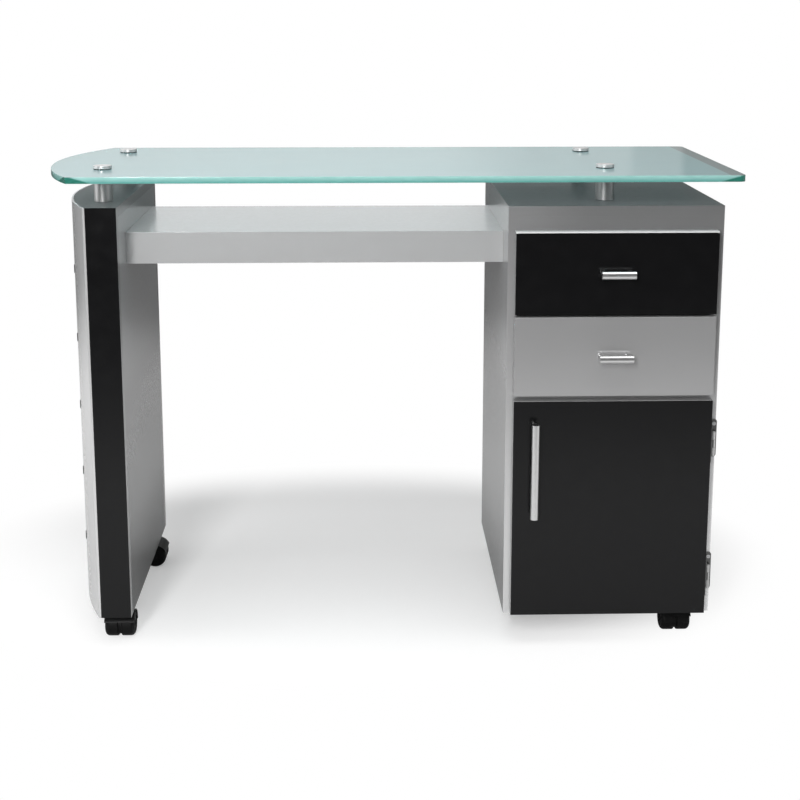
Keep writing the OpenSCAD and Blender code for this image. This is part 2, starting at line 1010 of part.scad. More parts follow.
module pedestal_divider() {
    color([0.55, 0.55, 0.56])
        block([ped_in0, ped_in1], [case_y0, case_y1 - thin_t], [divider_z, divider_z + board_t]);
}

module pedestal_top_rail() {
    color([0.5, 0.5, 0.51])
        block([ped_in0, ped_in1], [case_y0, case_y0 + board_t],
            [upper_z1 - rail_lap, inside_top]);
}

module runner_case_rails() {
    color("lightgray") {
        case_rails(runner_z(upper_z0, upper_z1));
        case_rails(runner_z(lower_z0, lower_z1));
    }
}

module hinge_case_leaves() {
    color("silver")
        for (z = hinge_mids)
            case_leaf(z);
}

module hinge_case_screws() {
    color("gray")
        for (z = hinge_mids)
            at_case_screws(z)
                hinge_screw();
}

module hinge_pins() {
    color("gainsboro")
        for (z = hinge_mids)
            translate([hinge_x, hinge_y, z - barrel_drop - barrel_l / 2]) {
                cylinder(h = barrel_l, r = pin_r);
                for (end = [-pin_head_t, barrel_l])
                    rod([0, 0, end], pin_head_t, pin_head_r);
            }
}

module door_catch() {
    color([0.15, 0.15, 0.15])
        block([ped_in0 + catch_in, ped_in0 + catch_in + catch_size[0]],
            [case_y0, case_y0 + catch_size[1]], [divider_z - catch_size[2], divider_z]);
}

module caster_plates() {
    color("lightgray")
        for (i = [0 : 3])
            at_caster(i)
                caster_plate_shape();
}

module caster_screws() {
    color("gray")
        for (i = [0 : 3])
            at_caster(i)
                at_caster_screws(plate_z)
                    wood_screw(caster_screw_r, caster_head_r, caster_head_h, caster_screw_l);
}

// Upper drawer
module upper_drawer_front() {
    color([0.07, 0.07, 0.07])
        drawer_front(upper_z0, upper_z1);
}

module upper_drawer_sides() {
    color([0.45, 0.45, 0.46])
        drawer_sides(upper_z0, upper_z1);
}

module upper_drawer_back() {
    color([0.45, 0.45, 0.46])
        drawer_back(upper_z0, upper_z1);
}

module upper_drawer_bottom() {
    color([0.4, 0.4, 0.41])
        drawer_bottom(upper_z0);
}

module upper_drawer_rails() {
    color("lightgray")
        drawer_rails(runner_z(upper_z0, upper_z1));
}

module upper_drawer_handle() {
    color("gainsboro")
        at_drawer_pull(upper_z0, upper_z1)
            pull(drawer_bar_l);
}

module upper_drawer_screws() {
    color("gray")
        at_drawer_pull(upper_z0, upper_z1)
            pull_screws(drawer_bar_l);
}

// Lower drawer
module lower_drawer_front() {
    color([0.58, 0.58, 0.59])
        drawer_front(lower_z0, lower_z1);
}

module lower_drawer_sides() {
    color([0.45, 0.45, 0.46])
        drawer_sides(lower_z0, lower_z1);
}

module lower_drawer_back() {
    color([0.45, 0.45, 0.46])
        drawer_back(lower_z0, lower_z1);
}

module lower_drawer_bottom() {
    color([0.4, 0.4, 0.41])
        drawer_bottom(lower_z0);
}

module lower_drawer_rails() {
    color("lightgray")
        drawer_rails(runner_z(lower_z0, lower_z1));
}

module lower_drawer_handle() {
    color("gainsboro")
        at_drawer_pull(lower_z0, lower_z1)
            pull(drawer_bar_l);
}

module lower_drawer_screws() {
    color("gray")
        at_drawer_pull(lower_z0, lower_z1)
            pull_screws(drawer_bar_l);
}

// Door
module door_panel() {
    color([0.1, 0.1, 0.1])
        difference() {
            block([front_x0, front_x1], [face_front, face_back], [door_z0, door_z1]);
            for (side = [-1, 1])
                rod_y([door_bar_x, face_front - over,
                        door_bar_z1 - door_bar_l / 2 + side * (door_bar_l / 2 - post_in)],
                    front_t + 2 * over, handle_screw_r + screw_fit);
            for (z = hinge_mids)
                at_door_screws(z)
                    hinge_screw_hole();
        }
}

module door_handle() {
    color("gainsboro")
        at_door_pull()
            pull(door_bar_l);
}

module door_handle_screws() {
    color("gray")
        at_door_pull()
            pull_screws(door_bar_l);
}

module hinge_door_leaves() {
    color("silver")
        for (z = hinge_mids)
            door_leaf(z);
}

module hinge_door_screws() {
    color("gray")
        for (z = hinge_mids)
            at_door_screws(z)
                hinge_screw();
}

module door_strike() {
    color("lightgray")
        block([ped_in0 + strike_in, ped_in0 + strike_in + strike_size[0]],
            [face_back, face_back + strike_size[1]],
            [divider_z - catch_size[2], divider_z - catch_size[2] + strike_size[2]]);
}

// Casters
module caster_body_at(i) {
    color([0.08, 0.08, 0.08])
        at_caster(i)
            caster_body();
}

module caster_wheels_at(i) {
    color([0.12, 0.12, 0.12])
        at_caster(i)
            caster_wheels();
}

module front_left_caster_body() {
    caster_body_at(0);
}

module front_left_caster_wheels() {
    caster_wheels_at(0);
}

module rear_left_caster_body() {
    caster_body_at(1);
}

module rear_left_caster_wheels() {
    caster_wheels_at(1);
}

module front_right_caster_body() {
    caster_body_at(2);
}

module front_right_caster_wheels() {
    caster_wheels_at(2);
}

module rear_right_caster_body() {
    caster_body_at(3);
}

module rear_right_caster_wheels() {
    caster_wheels_at(3);
}

glass_top();
standoff_posts();
standoff_caps();
standoff_gaskets();
standoff_studs();
leg_inner_panel();
leg_front_strip();
leg_rear_strip();
leg_outer_skin();
leg_top_plate();
leg_bottom_plate();
leg_battens();
leg_skin_screws();
tray_top();
tray_front_rail();
tray_back_rail();
tray_bottom();
tray_bolts();
pedestal_left_side();
pedestal_right_side();
pedestal_top();
pedestal_bottom();
pedestal_back();
pedestal_divider();
pedestal_top_rail();
runner_case_rails();
hinge_case_leaves();
hinge_case_screws();
hinge_pins();
door_catch();
caster_plates();
caster_screws();
upper_drawer_front();
upper_drawer_sides();
upper_drawer_back();
upper_drawer_bottom();
upper_drawer_rails();
upper_drawer_handle();
upper_drawer_screws();
lower_drawer_front();
lower_drawer_sides();
lower_drawer_back();
lower_drawer_bottom();
lower_drawer_rails();
lower_drawer_handle();
lower_drawer_screws();
door_panel();
door_handle();
door_handle_screws();
hinge_door_leaves();
hinge_door_screws();
door_strike();
front_left_caster_body();
front_left_caster_wheels();
rear_left_caster_body();
rear_left_caster_wheels();
front_right_caster_body();
front_right_caster_wheels();
rear_right_caster_body();
rear_right_caster_wheels();
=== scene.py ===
# %% [markdown]
# # A glass-topped desk with a pedestal
#
# The desk is a frosted glass plate held on four metal stand-offs. A D-shaped leg carries it
# at the left, a pedestal with two drawers and a door at the right, and a tray under the
# glass ties the two together. It rolls on four hooded casters.
#
# Every piece here sits around a finished construction model, which gives the sizes, the
# places and the moving bodies. The lesson goes from the studio to the finishes, and then
# from the big boards to the small fittings.

# %% Load the construction model
import bpy, bmesh, math
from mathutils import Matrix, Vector


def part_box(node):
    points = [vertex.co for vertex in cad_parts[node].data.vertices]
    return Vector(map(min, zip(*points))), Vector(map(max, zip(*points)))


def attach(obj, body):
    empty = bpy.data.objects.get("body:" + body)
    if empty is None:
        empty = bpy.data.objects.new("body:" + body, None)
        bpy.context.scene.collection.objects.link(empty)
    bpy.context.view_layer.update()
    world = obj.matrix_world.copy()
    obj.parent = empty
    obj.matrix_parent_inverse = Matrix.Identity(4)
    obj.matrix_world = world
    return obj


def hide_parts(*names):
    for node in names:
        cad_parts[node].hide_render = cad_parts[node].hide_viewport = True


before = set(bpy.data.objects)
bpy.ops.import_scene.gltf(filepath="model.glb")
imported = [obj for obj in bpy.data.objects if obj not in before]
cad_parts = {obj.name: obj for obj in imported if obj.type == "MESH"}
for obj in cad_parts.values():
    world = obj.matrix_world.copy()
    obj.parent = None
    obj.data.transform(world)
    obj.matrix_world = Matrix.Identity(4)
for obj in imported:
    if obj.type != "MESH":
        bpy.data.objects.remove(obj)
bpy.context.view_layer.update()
MM = 0.001
scene = bpy.context.scene
scene.view_settings.view_transform = "Standard"

# %% [markdown]
# ## The camera
#
# The desk is seen from the front at about head height, a little left of its middle. A long
# lens keeps the verticals calm, and a small shift of the film keeps the floor in view
# without tilting the camera further down. It could also be aimed with a tracking
# constraint, but plain numbers stay the same in every other view.

# %% The camera
LENS = 65.16
FILM_SHIFT = -0.14
CAMERA_PLACE = (-0.0410, -2.3714, 1.0126)
CAMERA_PITCH = 0.1938
CAMERA_TURN = -0.0268

camera_data = bpy.data.cameras.new("camera")
camera_data.sensor_width = 36
camera_data.lens = LENS
camera_data.shift_y = FILM_SHIFT
camera = bpy.data.objects.new("camera", camera_data)
camera.location = CAMERA_PLACE
camera.rotation_euler = (math.pi / 2 - CAMERA_PITCH, 0, CAMERA_TURN)
scene.collection.objects.link(camera)
scene.camera = camera
print("camera at", CAMERA_PLACE, "lens", LENS)

# %% [markdown]
# ## Wiring nodes in code
#
# A finish is a small network of nodes, and so are the lights and the trees that grow
# pieces later on. Writing one link at a time hides the idea, so `step` adds a node of any
# kind and sets or links its inputs by name or number. `node` does the same for shader
# nodes, and `calc`, `ranged` and `mixed` are the three nodes that come up most.

# %% Wiring helpers
def step(tree, kind, inputs=(), **settings):
    made = tree.nodes.new(kind)
    for label, value in settings.items():
        setattr(made, label, value)
    for label, value in dict(inputs).items():
        for part in value if isinstance(value, list) else [value]:
            if isinstance(part, bpy.types.NodeSocket):
                tree.links.new(part, made.inputs[label])
            else:
                made.inputs[label].default_value = part
    return made


def node(tree, kind, inputs=(), **settings):
    return step(tree, "ShaderNode" + kind, inputs, **settings)


def calc(tree, operation, first, second=0.0, **settings):
    return node(tree, "Math", {0: first, 1: second}, operation=operation,
                **settings).outputs[0]


def ranged(tree, value, low, high, start=0.0, end=1.0, curve="LINEAR"):
    return node(tree, "MapRange", {"Value": value, "From Min": low, "From Max": high,
                                   "To Min": start, "To Max": end},
                interpolation_type=curve).outputs[0]


def blended(tree, factor, low, high):
    return node(tree, "Mix", {0: factor, 2: low, 3: high}).outputs[0]


def mixed(tree, factor, low, high):
    return node(tree, "Mix", {0: factor, 6: low, 7: high}, data_type="RGBA").outputs[2]


print("wiring helpers ready")

# %% [markdown]
# ## Starting and feeding a finish
#
# `material` starts a Principled shader with plain numbers on its sockets, and `fed` links
# textures to them. The textures are noises placed by object coordinates, so they keep
# their grain at any size of a piece and need no unwrapping.

# %% Finish helpers
SOCKET_NAMES = {
    "base": "Base Color", "metallic": "Metallic", "roughness": "Roughness", "ior": "IOR",
    "specular": "Specular IOR Level", "coat": "Coat Weight",
    "coat_roughness": "Coat Roughness", "transmission": "Transmission Weight",
}


def material(name, **sockets):
    made = bpy.data.materials.new(name)
    made.use_nodes = True
    shader = made.node_tree.nodes["Principled BSDF"]
    for label, value in sockets.items():
        shader.inputs[SOCKET_NAMES[label]].default_value = value
    return made


def fed(made, **links):
    shader = made.node_tree.nodes["Principled BSDF"]
    for label, value in links.items():
        made.node_tree.links.new(value, shader.inputs[SOCKET_NAMES.get(label, label)])
    return made


def grey(value, tint=(1, 1, 1)):
    return (value * tint[0], value * tint[1], value * tint[2], 1)


def in_object(tree):
    return node(tree, "TexCoord").outputs["Object"]


def noise(tree, where, scale, detail=2, stretch=(1, 1, 1)):
    mapped = node(tree, "Mapping", {"Vector": where, "Scale": stretch})
    return node(tree, "TexNoise", {"Vector": mapped.outputs[0], "Scale": scale,
                                   "Detail": detail}).outputs["Fac"]


def spread(tree, value, low, high):
    return ranged(tree, value, 0.3, 0.7, low, high)


def bumped(tree, height, strength, distance):
    return node(tree, "Bump", {"Height": height, "Strength": strength,
                               "Distance": distance}).outputs[0]


print("finish helpers ready")

# %% [markdown]
# ## The studio
#
# The desk stands in a white room. The world shows plain white to the camera, and on the
# surfaces it is only a gentle fill. What the surfaces mirror is another matter: a studio
# is dark behind the camera, which keeps the black fronts deep, and grey cards stand at the
# back right, whose edges the glass top mirrors as soft steps. Real planes could be the
# cards, but they would stand in the way of the views from behind. So the world's own
# nodes dim it by direction, and only for rays that mirror or pass through.
#
# A card covers every direction past its slant, which is the way to the right over the way
# to the back.

# %% The world
FILL = 0.30
FRONT_DIM, BACK_LEVEL = 0.1, 1.0
FRONT_END, BACK_START = -0.9, 0.1
CARD_TONE = 0.2
CARDS = (  # where its edge starts, where it ends, its share of the shade
    (0.185, 0.191, 0.27), (0.221, 0.226, 0.35), (0.05, 0.12, 0.3))

world = bpy.data.worlds.new("studio")
scene.world = world
world.use_nodes = True
room = world.node_tree
room.nodes.clear()
ray = node(room, "LightPath").outputs
mirrored = calc(room, "ADD", ray["Is Glossy Ray"], ray["Is Transmission Ray"],
                use_clamp=True)
toward = node(room, "SeparateXYZ", {0: node(room, "TexCoord").outputs["Generated"]}).outputs
dim = ranged(room, toward["Y"], FRONT_END, BACK_START, FRONT_DIM, BACK_LEVEL, "SMOOTHSTEP")
slant = calc(room, "DIVIDE", toward["X"], toward["Y"])
shade = 0.0
for edge_start, edge_end, share in CARDS:
    shade = calc(room, "ADD", ranged(room, slant, edge_start, edge_end, 0.0, share), shade)
shade = calc(room, "MULTIPLY", shade, calc(room, "GREATER_THAN", toward["Y"]))
carded = ranged(room, shade, 0.0, 1.0, 1.0, CARD_TONE)
fill, dimmed, white = [
    node(room, "Background", {"Color": grey(1), "Strength": strength}).outputs[0]
    for strength in (FILL, calc(room, "MULTIPLY", dim, carded), 1.0)]
either = node(room, "MixShader", {0: mirrored, 1: fill, 2: dimmed}).outputs[0]
backdrop = node(room, "MixShader", {0: ray["Is Camera Ray"], 1: either, 2: white})
node(room, "OutputWorld", {0: backdrop.outputs[0]})
print("world with", len(CARDS), "cards")

# %% [markdown]
# ## The lights
#
# Three soft boxes model the shapes: a narrow upright one in front, a wide one overhead and
# a square one at the left. The front box stands to the left and is narrow, so that the
# leg shades the near end of the tray, as a strip light in a studio does.

# %% Soft boxes
SOFT_BOXES = (  # name, place, aim, size, watts
    ("front_box", (-0.72, -2.8, 1.6), (0, 0, 0.35), (0.4, 1.4), 59),
    ("top_box", (0.1, -0.5, 2.9), (0, 0, 0.4), (2.6, 2.0), 40),
    ("left_box", (-2.6, -0.4, 1.2), (-0.3, 0, 0.35), (1.6, 1.6), 14))

for name, place, aim, size, watts in SOFT_BOXES:
    light = bpy.data.lights.new(name, "AREA")
    light.shape = "RECTANGLE"
    light.size, light.size_y = size
    light.energy = watts
    lamp = bpy.data.objects.new(name, light)
    lamp.location = place
    lamp.rotation_euler = (Vector(aim) - Vector(place)).to_track_quat("-Z", "Y").to_euler()
    lamp.visible_camera = False
    scene.collection.objects.link(lamp)
print("soft boxes:", len(SOFT_BOXES))

# %% [markdown]
# ## The floor
#
# A pale disc takes the desk's soft shadow and fades to pure white towards its rim, so that
# no edge shows from any side. It has two rims. The camera's is a tight oval round the
# desk, and that of all other rays is a wider circle, so that the floor goes on in
# what the desk mirrors. To reflections it grows as dim as the studio's dark end, far in
# front and far behind. A faint glow lifts the shadow for the camera, and lessens towards
# the back. The fade could be a curved backdrop, but that would stand in the way of the
# views from behind.

# %% The floor's paint
FLOOR_TONE = 0.8
FLOOR_LIFT = 0.29
LIFT_FRONT, LIFT_BACK = 0.15, 0.5
WIDE_MIDDLE, WIDE_RIM = (0, 0.3, 0), (0.65, 1.9)
TIGHT_MIDDLE, TIGHT_SHAPE, TIGHT_RIM = (-0.05, 0.2, 0), (2.0, 2.9, 0), (0.95, 1.6)
DIM_NEAR, DIM_FAR = 0.9, 2.4

floor_paint = bpy.data.materials.new("floor_white")
floor_paint.use_nodes = True
ft = floor_paint.node_tree
ft.nodes.clear()
ray = node(ft, "LightPath").outputs
by_camera = ray["Is Camera Ray"]
where = in_object(ft)
depth = node(ft, "SeparateXYZ", {0: where}).outputs["Y"]

matt = node(ft, "BsdfDiffuse", {"Color": grey(FLOOR_TONE)}).outputs[0]
lift = node(ft, "Emission", {"Color": grey(1), "Strength": ranged(
    ft, depth, LIFT_FRONT, LIFT_BACK, FLOOR_LIFT, FLOOR_LIFT / 3)}).outputs[0]
lifted = node(ft, "AddShader", {0: matt, 1: lift}).outputs[0]
near = node(ft, "MixShader", {0: by_camera, 1: matt, 2: lifted}).outputs[0]

away = node(ft, "VectorMath", {0: where, 1: WIDE_MIDDLE}, operation="DISTANCE")
wide_rim = ranged(ft, away.outputs["Value"], *WIDE_RIM, curve="SMOOTHSTEP")
beside = node(ft, "VectorMath", {0: where, 1: TIGHT_MIDDLE}, operation="SUBTRACT")
beside = node(ft, "VectorMath", {0: beside.outputs[0], 1: TIGHT_SHAPE},
              operation="MULTIPLY")
beside = node(ft, "VectorMath", {0: beside.outputs[0]}, operation="LENGTH")
tight_rim = ranged(ft, beside.outputs["Value"], *TIGHT_RIM, curve="SMOOTHSTEP")
rim = blended(ft, by_camera, wide_rim, tight_rim)

shown = calc(ft, "ADD", by_camera, ray["Is Glossy Ray"])
shown = calc(ft, "ADD", shown, ray["Is Transmission Ray"], use_clamp=True)
front = ranged(ft, calc(ft, "ABSOLUTE", depth), DIM_NEAR, DIM_FAR, 1.0, FRONT_DIM)
glow = node(ft, "Emission", {"Color": grey(1),
                             "Strength": blended(ft, by_camera, front, 1.0)}).outputs[0]
ground = node(ft, "MixShader", {0: calc(ft, "MULTIPLY", rim, shown), 1: near, 2: glow})
node(ft, "OutputMaterial", {0: ground.outputs[0]})
print("floor paint:", floor_paint.name)

# %% [markdown]
# ## The disc under the desk
#
# The floor itself is one flat round face. A plane would take the paint as well, but a disc
# ends at the same distance on every side, far outside both rims.

# %% The disc
FLOOR_RADIUS = 9

floor_mesh = bpy.data.meshes.new("floor")
bm = bmesh.new()
bmesh.ops.create_circle(bm, cap_ends=True, segments=96, radius=FLOOR_RADIUS)
bm.to_mesh(floor_mesh)
bm.free()
floor = bpy.data.objects.new("floor", floor_mesh)
floor_mesh.materials.append(floor_paint)
scene.collection.objects.link(floor)
print("floor of", len(floor_mesh.polygons), "face")

# %% [markdown]
# ## Silver laminate
#
# The case, the leg and the tray are board faced with a silver-grey laminate: a fine mica
# in a satin lacquer. Close up it glitters in tiny specks, and from afar it is a calm grey
# that mirrors a bright room at a flat angle. Two noises mix the specks and a faint
# cloudiness into the colour, and a third roughens the lacquer a little. The same recipe in
# another tone makes the silver front. Lighter and darker copies of the one laminate carry
# painted light: a paler silver for the skin and the tray, a darker one for the upward
# faces as painted shade, and a light band on the upper drawer as a painted highlight.

# %% Silver laminate
def silver_laminate(name, tone, rough, shine, gloss):
    made = material(name, base=grey(tone), metallic=shine, roughness=rough, specular=gloss)
    tree = made.node_tree
    where = in_object(tree)
    specks = noise(tree, where, 2600, 1)
    clouds = noise(tree, where, 9, 3)
    grain = mixed(tree, specks, grey(tone * 0.95), grey(tone * 1.05, (1, 1, 1.01)))
    calm = mixed(tree, spread(tree, clouds, 0.0, 0.10), grain, grey(tone * 0.85))
    lacquer = spread(tree, noise(tree, where, 160, 2), rough - 0.02, rough + 0.02)
    return fed(made, base=calm, roughness=lacquer,
               Normal=bumped(tree, specks, 0.01, 0.00005))


silver = silver_laminate("silver_laminate", 0.40, 0.24, 0.40, 0.2)
# a lighter copy of the laminate, painted light on the skin and the tray
lit_silver = silver_laminate("silver_laminate_painted_light", 0.61, 0.22, 0.45, 0.5)
# a darker copy of the laminate, painted shade for faces that look up under the glass
shaded_silver = silver_laminate("silver_laminate_painted_shade", 0.17, 0.42, 0.1, 0.05)
front_silver = silver_laminate("silver_front_laminate", 0.42, 0.11, 0.48, 0.3)
# a light band, a painted highlight on the upper drawer's top
highlight_band = silver_laminate("silver_edge_painted_highlight", 0.62, 0.35, 0.1, 0.15)
print("silver finishes:", silver.name, lit_silver.name, shaded_silver.name,
      front_silver.name, highlight_band.name)

# %% [markdown]
# ## Silver with painted light and shade
#
# A big face is lit unevenly from the floor to the top, and these ramps paint that light
# and shade into its tone. A painted image could carry that. A ramp over the height,
# multiplied onto the specks, does it without one and follows the board when its size
# changes. The front edges of the case get a ramp of painted light for the left and one for
# the right, each lighter at the foot and darker at the top, blended over the first part of
# its width. The faces towards the knee space get a ramp with soft steps, painted shade
# darkest at the foot, and the leg's foot is the darker.

# %% Silver with painted light and shade
# painted shade at the foot and painted light higher up, on the faces towards the knee space
KNEE_PAINTED_LIGHT = (0.5, 0.33), (0.72, 0.52), (0.98, 0.48)  # share of the height, tone
CASE_FOOT_PAINTED_SHADE = (0.02, 0.18), (0.25, 0.33)
LEG_FOOT_PAINTED_SHADE = (0.04, 0.02), (0.28, 0.27)
# painted light on the case's front edges, lighter at the foot and darker at the top
LEFT_EDGE_PAINTED_LIGHT = 0.67, 0.345  # tone at the foot, tone at the top
RIGHT_EDGE_PAINTED_LIGHT = 0.80, 0.26
EDGE_BLEND = 140 * MM
case_low, case_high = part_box("pedestal_bottom")[0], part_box("pedestal_top")[1]


def scaled_by(made, tone):
    tree = made.node_tree
    speckled = tree.nodes["Principled BSDF"].inputs["Base Color"].links[0].from_socket
    return fed(made, base=node(tree, "VectorMath", {0: speckled, "Scale": tone},
                               operation="SCALE").outputs[0])


def silver_with_painted_light(name, tones):
    made = silver_laminate(name, 1.0, 0.24, 0.40, 0.2)
    tree = made.node_tree
    up = node(tree, "SeparateXYZ", {0: in_object(tree)}).outputs["Z"]
    steps = node(tree, "ValToRGB", {0: ranged(tree, up, case_low.z, case_high.z)})
    ramp = steps.color_ramp
    ramp.interpolation = "EASE"
    for position, tone in tones:
        ramp.elements.new(position).color = grey(tone)
    ramp.elements.remove(ramp.elements[0])
    ramp.elements.remove(ramp.elements[-1])
    return scaled_by(made, steps.outputs[0])


# the faces towards the knee space and the leg's inner face, with painted light and shade
inner_painted_light = silver_with_painted_light("silver_inner_face_painted_light", CASE_FOOT_PAINTED_SHADE + KNEE_PAINTED_LIGHT)
leg_painted_light = silver_with_painted_light("silver_leg_face_painted_light", LEG_FOOT_PAINTED_SHADE + KNEE_PAINTED_LIGHT)

# the case's front edges, with painted light and shade blended from left to right
case_edge_painted_light = silver_laminate("silver_case_edge_painted_light", 1.0, 0.24, 0.5, 0.2)
ct = case_edge_painted_light.node_tree
spot = node(ct, "SeparateXYZ", {0: in_object(ct)}).outputs
edge_painted_light_ramps = [ranged(ct, spot["Z"], case_low.z, case_high.z, *tones)
              for tones in (LEFT_EDGE_PAINTED_LIGHT, RIGHT_EDGE_PAINTED_LIGHT)]
across = ranged(ct, spot["X"], case_low.x, case_low.x + EDGE_BLEND, curve="SMOOTHSTEP")
scaled_by(case_edge_painted_light, blended(ct, across, *edge_painted_light_ramps))
print("silver with ramps:", inner_painted_light.name, leg_painted_light.name, case_edge_painted_light.name)

# %% [markdown]
# ## Black gloss laminate
#
# The upper drawer, the door and the ends of the leg are black. The lacquer is smooth but
# has the slight waviness that rollers leave, which softens what it mirrors, and here and
# there a mote of dust. A noise drives the waviness. The motes are the middles of Voronoi
# cells, which lie apart from each other as dust does.

# %% Black laminate
BLACK_TONE = 0.004
MOTE_TONE = 0.02

black = material("black_laminate", base=grey(BLACK_TONE), roughness=0.2, ior=1.45,
                 specular=0.3)
bt = black.node_tree
where = in_object(bt)
motes = node(bt, "TexVoronoi", {"Vector": where, "Scale": 260}, feature="F1")
dusty = mixed(bt, ranged(bt, motes.outputs["Distance"], 0.0, 0.06, 0.2, 0.0),
              grey(BLACK_TONE, (1, 1, 1.1)), grey(MOTE_TONE))
fed(black, base=dusty, roughness=spread(bt, noise(bt, where, 38, 3), 0.16, 0.24),
    Normal=bumped(bt, noise(bt, where, 420, 2), 0.02, 0.0001))
print("black finish:", black.name)

# %% [markdown]
# ## Board inside the drawers
#
# Drawer boxes are plain grey melamine, flatter and duller than the fronts. The battens
# behind the curved skin are raw softwood, whose rings a stretched noise draws. Both are
# seen little, so a few nodes are enough.

# %% Inner board and raw wood
inner = material("grey_melamine", base=grey(0.20), roughness=0.5)
it = inner.node_tree
where = in_object(it)
fed(inner, base=mixed(it, noise(it, where, 1200, 2), grey(0.17), grey(0.23)),
    roughness=spread(it, noise(it, where, 60, 2), 0.44, 0.56),
    Normal=bumped(it, noise(it, where, 900, 2), 0.08, 0.0003))

EARLY_WOOD, LATE_WOOD = (0.40, 0.25, 0.13, 1), (0.66, 0.48, 0.29, 1)

wood = material("raw_softwood", base=(0.55, 0.38, 0.22, 1), roughness=0.7)
wt = wood.node_tree
rings = noise(wt, in_object(wt), 9, 4, (14, 14, 1))
fed(wood, base=mixed(wt, rings, EARLY_WOOD, LATE_WOOD),
    Normal=bumped(wt, rings, 0.25, 0.0006))
print("inner finishes:", inner.name, wood.name)

# %% [markdown]
# ## Brushed steel and nickel
#
# Handles, posts and caps are steel, brushed to a satin. Brushing leaves fine lines that
# stretch every highlight across them, so a noise is squeezed along the brushing direction
# and drives colour, roughness and bump together. An anisotropic shader could stretch the
# highlight too, but it shows no lines close up. The handles are brushed lengthwise, and
# the turned posts and caps round and round. The hinges are nickel, bright on their
# knuckles, and a dark copy of the nickel on the leaves is a painted reflection of a dark
# part of the room.

# %% Brushed metals
ALONG_X, ALONG_Z, AROUND_Z = (0.02, 1, 1), (1, 1, 0.02), (0.02, 0.02, 1)


def brushed(name, stretch, tone, rough, shine=1.0):
    made = material(name, base=grey(tone), metallic=shine, roughness=rough)
    tree = made.node_tree
    lines = noise(tree, in_object(tree), 2600, 2, stretch)
    return fed(made, base=mixed(tree, lines, grey(tone * 0.92), grey(tone * 1.06)),
               roughness=spread(tree, lines, rough - 0.04, rough + 0.05),
               Normal=bumped(tree, lines, 0.05, 0.00005))


satin_along_x = brushed("satin_steel_along_x", ALONG_X, 0.66, 0.27)
satin_along_z = brushed("satin_steel_along_z", ALONG_Z, 0.66, 0.27)
satin_turned = brushed("satin_steel_turned", AROUND_Z, 0.46, 0.38, 0.8)
satin_cap = brushed("satin_steel_cap", AROUND_Z, 0.60, 0.34, 0.6)
nickel = brushed("nickel_hinge", ALONG_Z, 0.55, 0.25)
# a dark copy of the nickel for the flat leaves, a painted reflection of a dark room
leaf_nickel_painted_dark = brushed("nickel_leaf_painted_reflection", ALONG_Z, 0.13, 0.35)
print("brushed metals:", satin_along_x.name, satin_turned.name, satin_cap.name, nickel.name)

# %% [markdown]
# ## Zinc, nylon and rubber
#
# Screws and runners are zinc plated, which is mottled in soft spots. Caster hoods are
# black nylon with the fine grain of a mould, their treads a darker rubber, and so are the
# gaskets. Each is one noise that drives colour, roughness and bump at once, so the three
# agree as they do on a real surface.

# %% Zinc and moulded finishes
def mottled(name, tone, rough):
    made = material(name, base=grey(tone), metallic=1.0, roughness=rough)
    tree = made.node_tree
    spots = noise(tree, in_object(tree), 240, 3)
    return fed(made, base=mixed(tree, spots, grey(tone * 0.8, (0.98, 1, 1.03)),
                                grey(tone * 1.2)),
               roughness=spread(tree, spots, rough - 0.06, rough + 0.1),
               Normal=bumped(tree, spots, 0.1, 0.0002))


def moulded(name, tone, rough, grain):
    made = material(name, base=grey(tone), roughness=rough, specular=0.15)
    tree = made.node_tree
    fine = noise(tree, in_object(tree), grain, 3)
    return fed(made, base=mixed(tree, fine, grey(tone * 0.8), grey(tone * 1.3)),
               roughness=spread(tree, fine, rough - 0.06, rough + 0.08),
               Normal=bumped(tree, fine, 0.14, 0.0003))


zinc = mottled("zinc_plate", 0.5, 0.32)
rubber = moulded("rubber_gasket", 0.008, 0.6, 900)
nylon = moulded("black_nylon", 0.004, 0.40, 1400)
tread = moulded("tread_rubber", 0.003, 0.5, 1100)
cap_grey = moulded("dark_cap", 0.02, 0.34, 1500)
print("zinc and moulded finishes:", zinc.name, rubber.name, nylon.name, tread.name,
      cap_grey.name)

# %% [markdown]
# ## Glass: the upper surface
#
# The plate is acid-etched glass under a polished surface. The polish mirrors the caps
# sharply, while the etching scatters what lies beneath into a pale haze. A thin frosted
# layer under a clear one could be modelled, but a rough, half transmitting body under a
# clear coat shows the same in one surface. Along the straight end and the back the
# underside mirrors the inside of the edge as a grey band. A narrow ramp along either
# paints it into the colour as a painted reflection.

# %% Polished glass
GLASS_TONE = (0.44, 0.66, 0.68, 1)
HAZE_LOW, HAZE_HIGH = (0.42, 0.64, 0.67, 1), (0.46, 0.68, 0.69, 1)
# the grey band along the end and the back, a painted reflection
PAINTED_REFLECTION_TONE = (0.33, 0.35, 0.34, 1)
END_REFLECTION_BAND = 24 * MM, 23 * MM, 0.8  # inner side and outer side from the end, strength
BACK_REFLECTION_BAND = 7 * MM, 5 * MM, 0.5
glass_low, glass_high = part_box("glass_top")

